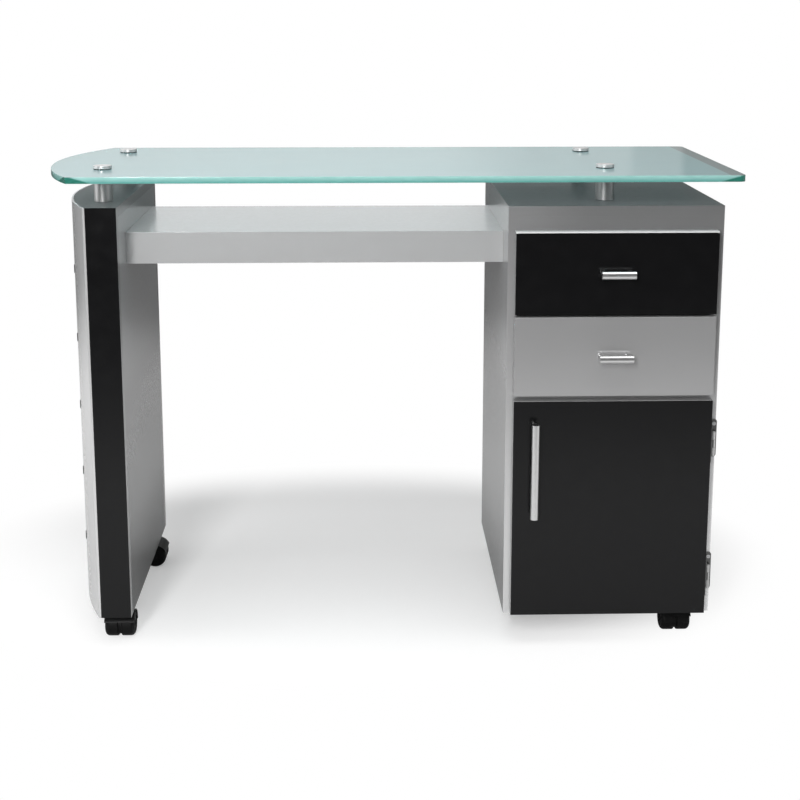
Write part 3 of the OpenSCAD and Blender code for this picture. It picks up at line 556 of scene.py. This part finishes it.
polished = material("glass_polished", base=GLASS_TONE, transmission=0.5, roughness=0.35,
                    ior=1.12, specular=0.3, coat=0.55, coat_roughness=0.02)
pt = polished.node_tree
where = in_object(pt)
haze = mixed(pt, noise(pt, where, 14, 3), HAZE_LOW, HAZE_HIGH)
place = node(pt, "SeparateXYZ", {0: where}).outputs
painted_reflection_bands = [ranged(pt, place[axis], end - inside, end - outside, 0.0, strength)
         for axis, end, (inside, outside, strength) in (
             ("X", glass_high.x, END_REFLECTION_BAND), ("Y", glass_high.y, BACK_REFLECTION_BAND))]
fed(polished, base=mixed(pt, calc(pt, "MAXIMUM", *painted_reflection_bands), haze, PAINTED_REFLECTION_TONE),
    roughness=spread(pt, noise(pt, where, 800, 2), 0.36, 0.44))
print("glass surface:", polished.name)

# %% [markdown]
# ## Glass: the underside and the edge
#
# The underside is the same etched glass without the polish. The edge is where light has
# travelled through most glass, so it turns sea green. Over that green a ramp paints light
# and shade: a painted highlight at the upper arris, painted shade towards the bottom, and
# the darkest painted shade in the two front corners, where two edges are seen one through
# the other. There the dark is a wedge, wide at the bottom of the edge and narrow at the
# top. Its measure is the distance from the corner, to which the height on the edge is
# added.

# %% Frosted glass and the green edge
FROST_LOW, FROST_HIGH = (0.78, 0.82, 0.82, 1), (0.84, 0.88, 0.87, 1)

frosted = material("glass_frosted", base=GLASS_TONE, transmission=0.9, roughness=0.5,
                   ior=1.15)
frt = frosted.node_tree
etch = noise(frt, in_object(frt), 1800, 2)
fed(frosted, base=mixed(frt, etch, FROST_LOW, FROST_HIGH),
    Normal=bumped(frt, etch, 0.2, 0.0002))

# the edge's green, with painted shade towards the bottom and a painted highlight at the
# upper arris
EDGE_GREEN_PAINTED_SHADE, EDGE_GREEN_PAINTED_HIGHLIGHT = (0.11, 0.37, 0.33, 1), (0.42, 0.72, 0.68, 1)
# painted dark in the front corners; the ripple green is the glass's own
CORNER_PAINTED_DARK, RIPPLE_GREEN = (0.012, 0.16, 0.11, 1), (0.12, 0.36, 0.33, 1)
ARRIS = 1 * MM
BOW_START = 57 * MM  # from the left end to where the bow meets the front edge
WEDGE = 32 * MM, 42 * MM  # where the dark starts to fade, where it has gone
WEDGE_LEAN = 28 * MM

edge_glass = material("glass_edge", base=(0.2, 0.5, 0.46, 1), transmission=0.25,
                      roughness=0.10, ior=1.5)
et = edge_glass.node_tree
where = in_object(et)
up = ranged(et, node(et, "SeparateXYZ", {0: where}).outputs["Z"],
            glass_low.z + ARRIS, glass_high.z - ARRIS)
corners = [node(et, "VectorMath", {0: where, 1: (x, glass_low.y, glass_high.z)},
                operation="DISTANCE").outputs["Value"]
           for x in (glass_high.x, glass_low.x + BOW_START)]
corner_shade_measure = node(et, "Math", {0: up, 1: WEDGE_LEAN, 2: calc(et, "MINIMUM", *corners)},
               operation="MULTIPLY_ADD").outputs[0]
glass_edge_painted_light = mixed(et, ranged(et, corner_shade_measure, *WEDGE, curve="SMOOTHSTEP"), CORNER_PAINTED_DARK,
              mixed(et, up, EDGE_GREEN_PAINTED_SHADE, EDGE_GREEN_PAINTED_HIGHLIGHT))
ripple = spread(et, noise(et, where, 60, 2, (1, 1, 8)), 0.0, 0.25)
fed(edge_glass, base=mixed(et, ripple, glass_edge_painted_light, RIPPLE_GREEN))
print("glass underside and edge:", frosted.name, edge_glass.name)

# %% [markdown]
# ## Boards from the construction model
#
# Each board already has its exact outline and holes. What a real board adds is a tiny
# rounding on every edge, which catches the light. `softened` copies the board, merges the
# loose triangles into clean faces and bevels the sharp edges. A Bevel modifier would do
# the same, but doing it at once leaves a finished mesh. Boards stay flat shaded. Rounded
# pieces get weighted normals, which keep big faces flat and let only the bevels turn.

# %% Clean copies
BOARD_EDGE = 0.15 * MM
SHARP = math.radians(32)
SAME_PLANE = math.radians(0.6)
CASE = "desk_frame"


def plain_mesh(name):
    bm = bmesh.new()
    bm.from_mesh(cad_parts[name].data)
    bmesh.ops.remove_doubles(bm, verts=bm.verts, dist=0.002 * MM)
    bmesh.ops.dissolve_limit(bm, angle_limit=SAME_PLANE, verts=bm.verts, edges=bm.edges)
    return bm


def sharp_edges(bm):
    return [e for e in bm.edges if len(e.link_faces) == 2 and e.calc_face_angle(0) > SHARP]


def evaluated(piece):
    return bpy.data.meshes.new_from_object(
        piece.evaluated_get(bpy.context.evaluated_depsgraph_get()))


print("clean copies ready, edges of", BOARD_EDGE / MM, "mm")

# %% [markdown]
# ## Placing a piece
#
# `placed` turns a mesh into an object: it rides on a moving body and stands in for one
# node of the construction, which it hides. `finished` gives each face one of the piece's
# finishes, by the way the face looks, before that.

# %% Placing helpers
def placed(made, name, body, node_name, flat=False):
    piece = bpy.data.objects.new(name, made)
    scene.collection.objects.link(piece)
    if flat:
        made.shade_flat()
    else:
        made.shade_smooth()
        made.set_sharp_from_angle(angle=math.radians(40))
        ease = piece.modifiers.new("ease", "WEIGHTED_NORMAL")
        ease.keep_sharp = True
        ease.weight = 100
        piece.data = evaluated(piece)
        piece.modifiers.clear()
        bpy.data.meshes.remove(made)
        piece.data.name = name
    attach(piece, body)
    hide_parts(node_name)
    return piece


def finished(bm, name, finishes, body, node_name, choose, flat):
    made = bpy.data.meshes.new(name)
    for finish in finishes:
        made.materials.append(finish)
    for face in bm.faces:
        face.material_index = choose(face) if choose else 0
    bm.to_mesh(made)
    bm.free()
    if "custom_normal" in made.attributes:
        made.attributes.remove(made.attributes["custom_normal"])
    return placed(made, name, body, node_name, flat)


def softened(node_name, name, finishes, body, width=BOARD_EDGE, choose=None, flat=True):
    bm = plain_mesh(node_name)
    bmesh.ops.bevel(bm, geom=sharp_edges(bm), offset=width, segments=2, profile=0.5,
                    affect="EDGES", clamp_overlap=True)
    return finished(bm, name, finishes, body, node_name, choose, flat)


# %% [markdown]
# ## The case and the tray
#
# The pedestal, the tray and the leg's flat boards are all silver, the tray a paler copy
# that carries painted light. They are made in one loop over a table, because they differ
# only in outline and in which of their faces take a special finish. Faces that look up lie
# in the shade of the glass, and a darker silver paints that shade. The case's front edges
# and the faces towards the knee space take the ramps of painted light and shade. The edges
# are barely broken, so that flush boards read as one face with a hairline joint. The strips
# at the ends of the leg are black in front and behind, and silver on their edges.

# %% The silver boards
BATTEN_EDGE = 1.2 * MM


# faces that look up take the darker silver, painted shade
def tops_only(face):
    return 1 if face.normal.z > 0.9 else 0


def leg_faces(face):
    return 2 if face.normal.x > 0.9 else tops_only(face)


def case_faces(face):
    if face.normal.y < -0.9:
        return 2
    return 3 if face.normal.x < -0.9 else tops_only(face)


def strip_faces(face):
    if tops_only(face):
        return 2
    return 0 if abs(face.normal.y) > 0.7 else 1


BOARDS = (
    (("leg_top_plate", "pedestal_divider", "pedestal_back"),
     [silver, shaded_silver], tops_only),
    (("leg_inner_panel", "leg_bottom_plate"), [silver, shaded_silver, leg_painted_light], leg_faces),
    (("pedestal_top", "pedestal_top_rail", "pedestal_left_side", "pedestal_right_side",
      "pedestal_bottom"), [silver, shaded_silver, case_edge_painted_light, inner_painted_light], case_faces),
    # the tray's paler silver is painted light
    (("tray_top", "tray_front_rail", "tray_back_rail", "tray_bottom"), [lit_silver], None),
    (("leg_front_strip", "leg_rear_strip"), [black, silver, shaded_silver], strip_faces))

for names, finishes, choose in BOARDS:
    for board in names:
        softened(board, board + "_board", finishes, CASE, choose=choose)
softened("leg_battens", "leg_batten_pair", [wood], CASE, BATTEN_EDGE)
print("boards:", sum(len(names) for names, _, _ in BOARDS), "and two battens")

# %% [markdown]
# ## Growing pieces with Geometry Nodes
#
# Some pieces follow a rule or repeat: the bent skin is one swept arc, and there are four
# stand-offs, ten screw caps and a few dozen screws. Modelling one and copying it by hand
# would work, but a small node tree grows all of them and keeps their sizes as inputs.
# Every tree ends in the same way: copies are made real, and get their finish.

# %% Tree helpers
def new_tree(name, sizes):
    tree = bpy.data.node_groups.new(name, "GeometryNodeTree")
    for label, kind in [("Geometry", "Geometry")] + sizes:
        tree.interface.new_socket(label, in_out="INPUT", socket_type="NodeSocket" + kind)
    tree.interface.new_socket("Geometry", in_out="OUTPUT",
                              socket_type="NodeSocketGeometry")
    given = tree.nodes.new("NodeGroupInput").outputs
    return tree, given, tree.nodes.new("NodeGroupOutput")


def at_height(tree, shape, height):
    lift = step(tree, "ShaderNodeCombineXYZ", {"Z": height}).outputs[0]
    return step(tree, "GeometryNodeTransform", {"Geometry": shape,
                                                "Translation": lift}).outputs[0]


def rounded_section(tree, width, height, edge, steps):
    section = step(tree, "GeometryNodeCurvePrimitiveQuadrilateral",
                   {"Width": width, "Height": height})
    return step(tree, "GeometryNodeFilletCurve",
                {"Curve": section.outputs[0], "Radius": edge, "Count": steps},
                mode="POLY").outputs[0]


def end_tree(tree, out, shape, finish):
    real = step(tree, "GeometryNodeRealizeInstances", {"Geometry": shape})
    coated = step(tree, "GeometryNodeSetMaterial", {"Geometry": real.outputs[0],
                                                    "Material": finish})
    tree.links.new(coated.outputs[0], out.inputs[0])


print("tree helpers ready")

# %% [markdown]
# ## Seeds, and the harvest
#
# A tree starts from a seed mesh, whose points say where the copies go and whose "aim"
# attribute says which way they look. `grown` sets the tree's named inputs, evaluates it
# and keeps the plain mesh, so nothing is left to compute later. A modifier's input is
# reached by its identifier, because two inputs may have the same name.

# %% Growing helpers
def seeds(name, places):
    made = bpy.data.meshes.new(name)
    made.from_pydata([tuple(point) for point, _ in places], [], [])
    aims = made.attributes.new("aim", "FLOAT_VECTOR", "POINT")
    aims.data.foreach_set("vector", [value for _, aim in places for value in aim])
    return made


def on_points(tree, points, shape):
    aim = step(tree, "GeometryNodeInputNamedAttribute", {"Name": "aim"},
               data_type="FLOAT_VECTOR")
    turn = step(tree, "FunctionNodeAlignRotationToVector", {"Vector": aim.outputs[0]},
                axis="Z")
    return step(tree, "GeometryNodeInstanceOnPoints", {
        "Points": points, "Instance": shape, "Rotation": turn.outputs[0]}).outputs[0]


def grown(tree, values, seed_mesh, name):
    holder = bpy.data.objects.new(name, seed_mesh)
    scene.collection.objects.link(holder)
    grow = holder.modifiers.new("grow", "NODES")
    grow.node_group = tree
    keys = {s.name: s.identifier for s in tree.interface.items_tree
            if s.item_type == "SOCKET" and s.in_out == "INPUT"}
    for label, value in values.items():
        grow[keys[label]] = value
    made = evaluated(holder)
    made.name = name
    holder.modifiers.clear()
    bpy.data.objects.remove(holder)
    bm = bmesh.new()
    bm.from_mesh(made)
    bmesh.ops.remove_doubles(bm, verts=bm.verts, dist=0.001 * MM)
    bmesh.ops.recalc_face_normals(bm, faces=bm.faces)
    bm.to_mesh(made)
    bm.free()
    return made


UP = (0, 0, 1)
print("growing helpers ready")

# %% [markdown]
# ## The curved skin
#
# A thin silver skin is bent round the left of the leg. It could be a bent plane with a
# thickness, but an arc is what the real sheet follows. So one arc is the path, a slim
# upright rectangle with eased edges the section, and Curve to Mesh sweeps it. The tree
# takes every measure of the sheet as an input.

# %% The skin's tree
tree, g, out = new_tree("bent_skin", [
    ("Radius", "Float"), ("Thickness", "Float"), ("Height", "Float"), ("Start", "Float"),
    ("Sweep", "Float"), ("Centre", "Vector"), ("Edge", "Float"), ("Finish", "Material")])
half_sheet = calc(tree, "MULTIPLY", g["Thickness"], 0.5)
line_radius = calc(tree, "SUBTRACT", g["Radius"], half_sheet)
arc = step(tree, "GeometryNodeCurveArc", {
    "Resolution": 121, "Radius": line_radius, "Start Angle": g["Start"],
    "Sweep Angle": g["Sweep"]})
swept = step(tree, "GeometryNodeCurveToMesh", {
    "Curve": arc.outputs[0], "Fill Caps": True,
    "Profile Curve": rounded_section(tree, g["Thickness"], g["Height"], g["Edge"], 2)})
moved = step(tree, "GeometryNodeTransform", {"Geometry": swept.outputs[0],
                                             "Translation": g["Centre"]})
end_tree(tree, out, moved.outputs[0], g["Finish"])
skin_tree = tree
print("skin tree of", len(tree.nodes), "nodes")

# %% [markdown]
# ## Bending and trimming the sheet
#
# The radius of the bend follows from two measures that a maker can take: how far the two
# ends lie apart, and how far the middle bows out. The sweep runs a little long, and two
# cuts trim its ends flush with the black strips, as a saw would. Ending the sweep exactly
# would leave the end faces square to the arc, which isn't how they meet the strips.

# %% The skin
SKIN_BOW = 47 * MM
SKIN_THICKNESS = 3 * MM
SKIN_EDGE = 0.4 * MM
SPARE_SWEEP = math.radians(0.6)
skin_low, skin_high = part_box("leg_outer_skin")
skin_middle = (skin_low + skin_high) / 2
chord = skin_high.y - skin_low.y
skin_radius = (chord ** 2 / 4 + SKIN_BOW ** 2) / (2 * SKIN_BOW)
skin_centre = Vector((skin_low.x + skin_radius, skin_middle.y, 0))
half_sweep = math.asin(chord / 2 / skin_radius) + SPARE_SWEEP

# The skin takes the paler silver, a copy of the laminate with painted light.
skin_mesh = grown(skin_tree, {
    "Radius": skin_radius, "Thickness": SKIN_THICKNESS, "Height": skin_high.z - skin_low.z,
    "Start": math.pi - half_sweep, "Sweep": 2 * half_sweep,
    "Centre": skin_centre + Vector((0, 0, skin_middle.z)),
    "Edge": SKIN_EDGE, "Finish": lit_silver}, seeds("skin_seed", []), "leg_skin")
bm = bmesh.new()
bm.from_mesh(skin_mesh)
for level, way in ((skin_low.y, -1), (skin_high.y, 1)):
    cut = bmesh.ops.bisect_plane(bm, geom=bm.verts[:] + bm.edges[:] + bm.faces[:],
                                 plane_co=(0, level, 0), plane_no=(0, way, 0),
                                 clear_outer=True)
    bmesh.ops.contextual_create(bm, geom=[e for e in cut["geom_cut"]
                                          if isinstance(e, bmesh.types.BMEdge)])
bmesh.ops.recalc_face_normals(bm, faces=bm.faces)
bm.to_mesh(skin_mesh)
bm.free()
skin = placed(skin_mesh, "leg_bent_skin", CASE, "leg_outer_skin")
print("skin", [round(v / MM, 1) for v in skin.dimensions], "mm,",
      len(skin.data.polygons), "faces")

# %% [markdown]
# ## Reading places from the construction
#
# One node of the construction often holds several loose parts, such as four posts. Walking
# along the edges from any point gathers one part, and its box says where it stands and how
# big it is. Typed places would do too, but these follow the construction when it changes.

# %% Reading places
def parts_of(node_name):
    bm = plain_mesh(node_name)
    seen_verts, found = set(), []
    for start in bm.verts:
        if start in seen_verts:
            continue
        seen_verts.add(start)
        todo, part = [start], []
        while todo:
            vert = todo.pop()
            part.append(vert.co.copy())
            for edge in vert.link_edges:
                other = edge.other_vert(vert)
                if other not in seen_verts:
                    seen_verts.add(other)
                    todo.append(other)
        found.append(part)
    bm.free()
    return found


def box_of(part):
    return Vector(map(min, zip(*part))), Vector(map(max, zip(*part)))


print("posts found:", len(parts_of("standoff_posts")))

# %% [markdown]
# ## Turned rings: stand-offs and screw caps
#
# Posts, caps, gaskets and the caps over the skin's screws are all rings turned on a lathe.
# A spun profile could make each, but one tree gives them all: a rounded rectangle swept
# round a circle. A solid cap is a ring whose bore is next to nothing.

# %% Turned rings
tree, g, out = new_tree("turned_rings", [
    ("Inner", "Float"), ("Outer", "Float"), ("Height", "Float"), ("Edge", "Float"),
    ("Finish", "Material")])
middle = calc(tree, "MULTIPLY", calc(tree, "ADD", g["Inner"], g["Outer"]), 0.5)
circle = step(tree, "GeometryNodeCurvePrimitiveCircle", {"Resolution": 72,
                                                         "Radius": middle})
wall = calc(tree, "SUBTRACT", g["Outer"], g["Inner"])
turned = step(tree, "GeometryNodeCurveToMesh", {
    "Curve": circle.outputs[0],
    "Profile Curve": rounded_section(tree, wall, g["Height"], g["Edge"], 4)})
standing = at_height(tree, turned.outputs[0], calc(tree, "MULTIPLY", g["Height"], 0.5))
end_tree(tree, out, on_points(tree, g["Geometry"], standing), g["Finish"])
ring_tree = tree
print("ring tree of", len(tree.nodes), "nodes")

# %% [markdown]
# ## Stand-offs
#
# Each stand-off is a post under the glass and a cap on it, with a rubber gasket on either
# side of the glass, and a threaded stud runs through all four. They stand at the middles
# of the construction's parts, and take their heights and radii from them.

# %% Stand-offs
STUD_BORE = 4.1 * MM
NO_BORE = 0.05 * MM


def rings_from(node_name, name, finish, bore, edge):
    boxes = [box_of(part) for part in parts_of(node_name)]
    low, high = boxes[0]
    places = [(((a.x + b.x) / 2, (a.y + b.y) / 2, a.z), UP) for a, b in boxes]
    made = grown(ring_tree, {
        "Inner": bore, "Outer": (high.x - low.x) / 2, "Height": high.z - low.z,
        "Edge": edge, "Finish": finish}, seeds(name + "_seed", places), name)
    return placed(made, name, CASE, node_name)


posts = rings_from("standoff_posts", "standoff_post_set", satin_turned, STUD_BORE, 0.4 * MM)
rings_from("standoff_caps", "standoff_cap_set", satin_cap, NO_BORE, 0.6 * MM)
rings_from("standoff_gaskets", "standoff_gasket_set", rubber, STUD_BORE, 0.3 * MM)
print("stand-offs:", len(posts.data.polygons), "faces in the posts")

# %% [markdown]
# ## Caps over the skin's screws
#
# Ten screws hold the skin, and each wears a small dark cap. They sit in two upright rows
# near the strips, on the arc and square to it, so each cap's place and aim come from the
# angle of its row.

# %% Skin caps
CAP_ROWS = -110 * MM, 110 * MM
CAP_FIRST, CAP_STEP = 103 * MM, 111.5 * MM
CAP_RADIUS, CAP_HEIGHT, CAP_EDGE = 7 * MM, 1.6 * MM, 0.7 * MM
CAP_SUNK = 0.6 * MM

cap_places = []
for row in CAP_ROWS:
    angle = math.asin(row / skin_radius)
    aim = Vector((-math.cos(angle), math.sin(angle), 0))
    for i in range(5):
        point = skin_centre + aim * (skin_radius - CAP_SUNK)
        point.z = skin_low.z + CAP_FIRST + CAP_STEP * i
        cap_places.append((point, aim))
cap_mesh = grown(ring_tree, {
    "Inner": NO_BORE, "Outer": CAP_RADIUS, "Height": CAP_HEIGHT, "Edge": CAP_EDGE,
    "Finish": cap_grey}, seeds("skin_cap_seed", cap_places), "skin_screw_caps")
placed(cap_mesh, "skin_screw_cap_set", CASE, "leg_skin_screws")
print("skin caps:", len(cap_places))

# %% [markdown]
# ## Screws
#
# Screws with a cross recess hold the hinges, the handles, the casters and the tray. One
# tree makes a screw: a flat head, a tapering shank and two crossed slots cut from the
# head. A thread isn't modelled, because it is hidden in the board.

# %% The screw's tree
tree, g, out = new_tree("cross_screws", [
    ("Head Radius", "Float"), ("Head Height", "Float"), ("Shank Radius", "Float"),
    ("Length", "Float"), ("Finish", "Material")])
head = step(tree, "GeometryNodeMeshCylinder", {"Vertices": 32, "Radius": g["Head Radius"],
                                               "Depth": g["Head Height"]})
sunk = at_height(tree, head.outputs[0], calc(tree, "MULTIPLY", g["Head Height"], -0.5))
shank = step(tree, "GeometryNodeMeshCone", {
    "Vertices": 20, "Radius Top": g["Shank Radius"],
    "Radius Bottom": calc(tree, "MULTIPLY", g["Shank Radius"], 0.6),
    "Depth": calc(tree, "SUBTRACT", g["Length"], g["Head Height"])})
below = at_height(tree, shank.outputs[0], calc(tree, "MULTIPLY", g["Length"], -1.0))
long_slot = calc(tree, "MULTIPLY", g["Head Radius"], 1.2)
slim_slot = calc(tree, "MULTIPLY", g["Head Radius"], 0.3)
slots = []
for across, along in ((long_slot, slim_slot), (slim_slot, long_slot)):
    size = node(tree, "CombineXYZ", {"X": across, "Y": along, "Z": g["Head Height"]})
    slots.append(step(tree, "GeometryNodeMeshCube", {"Size": size.outputs[0]}).outputs[0])
cut_head = step(tree, "GeometryNodeMeshBoolean", {"Mesh 1": sunk, "Mesh 2": slots},
                operation="DIFFERENCE", solver="EXACT")
whole = step(tree, "GeometryNodeJoinGeometry", {"Geometry": [cut_head.outputs[0], below]})
end_tree(tree, out, on_points(tree, g["Geometry"], whole.outputs[0]), g["Finish"])
screw_tree = tree
print("screw tree of", len(tree.nodes), "nodes")

# %% [markdown]
# ## Where the screws go
#
# The construction has plain screws in the right places. The longest side of a screw's box
# is its axis, and the wider of its two ends is the head. Place, aim and sizes come from
# that, and only the height of the head is given.

# %% Placing the screws
HINGE_HEAD, CASTER_HEAD, BOLT_HEAD = 1.2 * MM, 1.6 * MM, 2.5 * MM


def screw_places(node_name):
    places, head_radius, shank_radius, length = [], 0, 0, 0
    for part in parts_of(node_name):
        low, high = box_of(part)
        size, mid = high - low, (low + high) / 2
        axis = max(range(3), key=lambda i: size[i])
        ends = [max(max(abs(p[i] - mid[i]) for i in range(3) if i != axis)
                    for p in part if abs(p[axis] - level) < 0.2 * MM)
                for level in (low[axis], high[axis])]
        way = -1 if ends[0] > ends[1] else 1
        point, aim = mid.copy(), Vector((0, 0, 0))
        point[axis] = low[axis] if way < 0 else high[axis]
        aim[axis] = way
        places.append((point, aim))
        head_radius, shank_radius, length = max(ends), min(ends), size[axis]
    return places, head_radius, shank_radius, length


def screws_from(node_name, name, body, head_height):
    places, head_radius, shank_radius, length = screw_places(node_name)
    made = grown(screw_tree, {
        "Head Radius": head_radius, "Head Height": head_height,
        "Shank Radius": shank_radius, "Length": length, "Finish": zinc},
        seeds(name + "_seed", places), name)
    placed(made, name, body, node_name)
    return len(places)


count = 0
for node_name, name, body, head_height in (
        ("hinge_case_screws", "hinge_case_screw_set", CASE, HINGE_HEAD),
        ("hinge_door_screws", "hinge_door_screw_set", "door", HINGE_HEAD),
        ("caster_screws", "caster_screw_set", CASE, CASTER_HEAD),
        ("tray_bolts", "tray_bolt_set", CASE, BOLT_HEAD),
        ("door_handle_screws", "door_handle_screw_set", "door", BOLT_HEAD),
        ("upper_drawer_screws", "upper_drawer_screw_set", "upper_drawer", BOLT_HEAD),
        ("lower_drawer_screws", "lower_drawer_screw_set", "lower_drawer", BOLT_HEAD)):
    count += screws_from(node_name, name, body, head_height)
print("screws:", count)

# %% [markdown]
# ## The fronts
#
# Two drawer fronts and the door are boards faced on both sides, with silver on all four
# edges. A face that looks forward or back takes the laminate of the front. The top of the
# upper drawer is rounded over wider, so that it catches the light from above, and its band
# is a lighter silver, a painted highlight that makes the line brighter still. A bevel of
# many steps gives the round, and the faces of that bevel are told from the rest by their
# height and their slant.

# %% The fronts
TOP_ROUND, PLAIN_ROUND, FRONT_EDGE = 2.8 * MM, 0.5 * MM, 0.25 * MM
LEVEL = 0.01 * MM


def top_front(edge):
    a, b = edge.verts[0].co, edge.verts[1].co
    return (abs(a.z - b.z) < LEVEL and abs(a.y - b.y) < LEVEL
            and all(f.normal.z > 0.9 or f.normal.y < -0.9 for f in edge.link_faces))


def banded_front(board, body, face_finish, band_finish, band_round):
    bm = plain_mesh(board)
    bmesh.ops.bevel(bm, geom=[e for e in sharp_edges(bm) if top_front(e)],
                    offset=band_round, segments=6, profile=0.5, affect="EDGES")
    bmesh.ops.bevel(bm, geom=sharp_edges(bm), offset=FRONT_EDGE, segments=2, profile=0.5,
                    affect="EDGES", clamp_overlap=True)
    high = max(v.co.z for v in bm.verts)

    def choose(face):
        if face.normal.z > 0.98:
            return 1
        if abs(face.normal.x) > 0.98 or face.normal.z < -0.98:
            return 2
        level = face.calc_center_median().z
        return 1 if level > high - band_round * 0.98 and abs(face.normal.y) < 0.98 else 0

    finished(bm, board + "_board", [face_finish, band_finish, silver], body, board,
             choose, flat=False)


# the upper drawer's top band is a lighter silver, a painted highlight
banded_front("upper_drawer_front", "upper_drawer", black, highlight_band, TOP_ROUND)
banded_front("lower_drawer_front", "lower_drawer", front_silver, silver, PLAIN_ROUND)
banded_front("door_panel", "door", black, silver, PLAIN_ROUND)
for drawer in ("upper_drawer", "lower_drawer"):
    for part in ("sides", "back", "bottom"):
        board = drawer + "_" + part
        softened(board, board + "_board", [inner], drawer)
print("fronts and drawer boxes ready")

# %% [markdown]
# ## The glass plate
#
# The plate is one closed piece. Its outline comes from the construction model, its edges
# get a small ground arris, and each face takes its finish from the way it looks: up is
# polished, down is frosted and sideways is the green edge.

# %% The glass plate
def glass_faces(face):
    if face.normal.z > 0.9:
        return 0
    return 1 if face.normal.z < -0.9 else 2


glass = softened("glass_top", "glass_plate", [polished, frosted, edge_glass], CASE,
                 ARRIS, glass_faces, flat=False)
print("glass plate", [round(v / MM, 1) for v in glass.dimensions], "mm")

# %% [markdown]
# ## Handles and hinges
#
# These fittings have the right shape in the construction model. Their sharp edges are
# rounded as polishing leaves them. The handles are steel, brushed along their bar. On a
# hinge the round knuckles always catch some light and stay bright, while the flat leaves
# mirror one dark part of the room. A dark nickel on the leaves paints that reflection, and
# the two nickels, told apart by how a face looks along an axis, keep it from every side.

# %% Handles and hinges
HANDLE_EDGE, LEAF_EDGE, PIN_EDGE = 0.6 * MM, 0.25 * MM, 0.3 * MM


# flat faces take the dark nickel, a painted reflection
def leaf_faces(face):
    flat = max(abs(face.normal.x), abs(face.normal.y), abs(face.normal.z)) > 0.995
    return 1 if flat else 0


for part, steel in (("upper_drawer", satin_along_x), ("lower_drawer", satin_along_x),
                    ("door", satin_along_z)):
    softened(part + "_handle", part + "_bar", [steel], part, HANDLE_EDGE, flat=False)
for side, body in (("case", CASE), ("door", "door")):
    softened("hinge_" + side + "_leaves", "hinge_" + side + "_leaf_set",
             [nickel, leaf_nickel_painted_dark], body, LEAF_EDGE, leaf_faces, flat=False)
softened("hinge_pins", "hinge_pin_set", [nickel], CASE, PIN_EDGE, flat=False)
print("handles and hinges ready")

# %% [markdown]
# ## Casters and runners
#
# A caster is a moulded hood over a pair of wheels on one axle. Hood and wheels ride on
# different bodies, since the hood swivels and the wheels also roll. The runners are
# pressed from sheet, and the ones on a drawer travel with it.

# %% Casters and runners
CASTER_EDGE = 0.4 * MM

for corner in ("front_left", "rear_left", "front_right", "rear_right"):
    softened(corner + "_caster_body", corner + "_caster_hood", [nylon], corner + "_caster",
             CASTER_EDGE, flat=False)
    softened(corner + "_caster_wheels", corner + "_wheel_pair", [tread], corner + "_wheels",
             CASTER_EDGE, flat=False)
softened("runner_case_rails", "case_runner_set", [zinc], CASE)
for drawer in ("upper_drawer", "lower_drawer"):
    softened(drawer + "_rails", drawer + "_runner_set", [zinc], drawer)
print("casters and runners ready")

# %% [markdown]
# ## Fittings that are kept
#
# A few hidden fittings stay as they are in the construction model, and only take their
# finish. Nobody sees their edges, so rounding them would add faces for nothing.

# %% Fittings that are kept
kept = {"standoff_studs": zinc, "door_catch": nylon, "door_strike": zinc,
        "caster_plates": zinc}
for name, finish in kept.items():
    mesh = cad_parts[name].data
    mesh.materials.clear()
    mesh.materials.append(finish)
print("kept fittings:", len(kept))
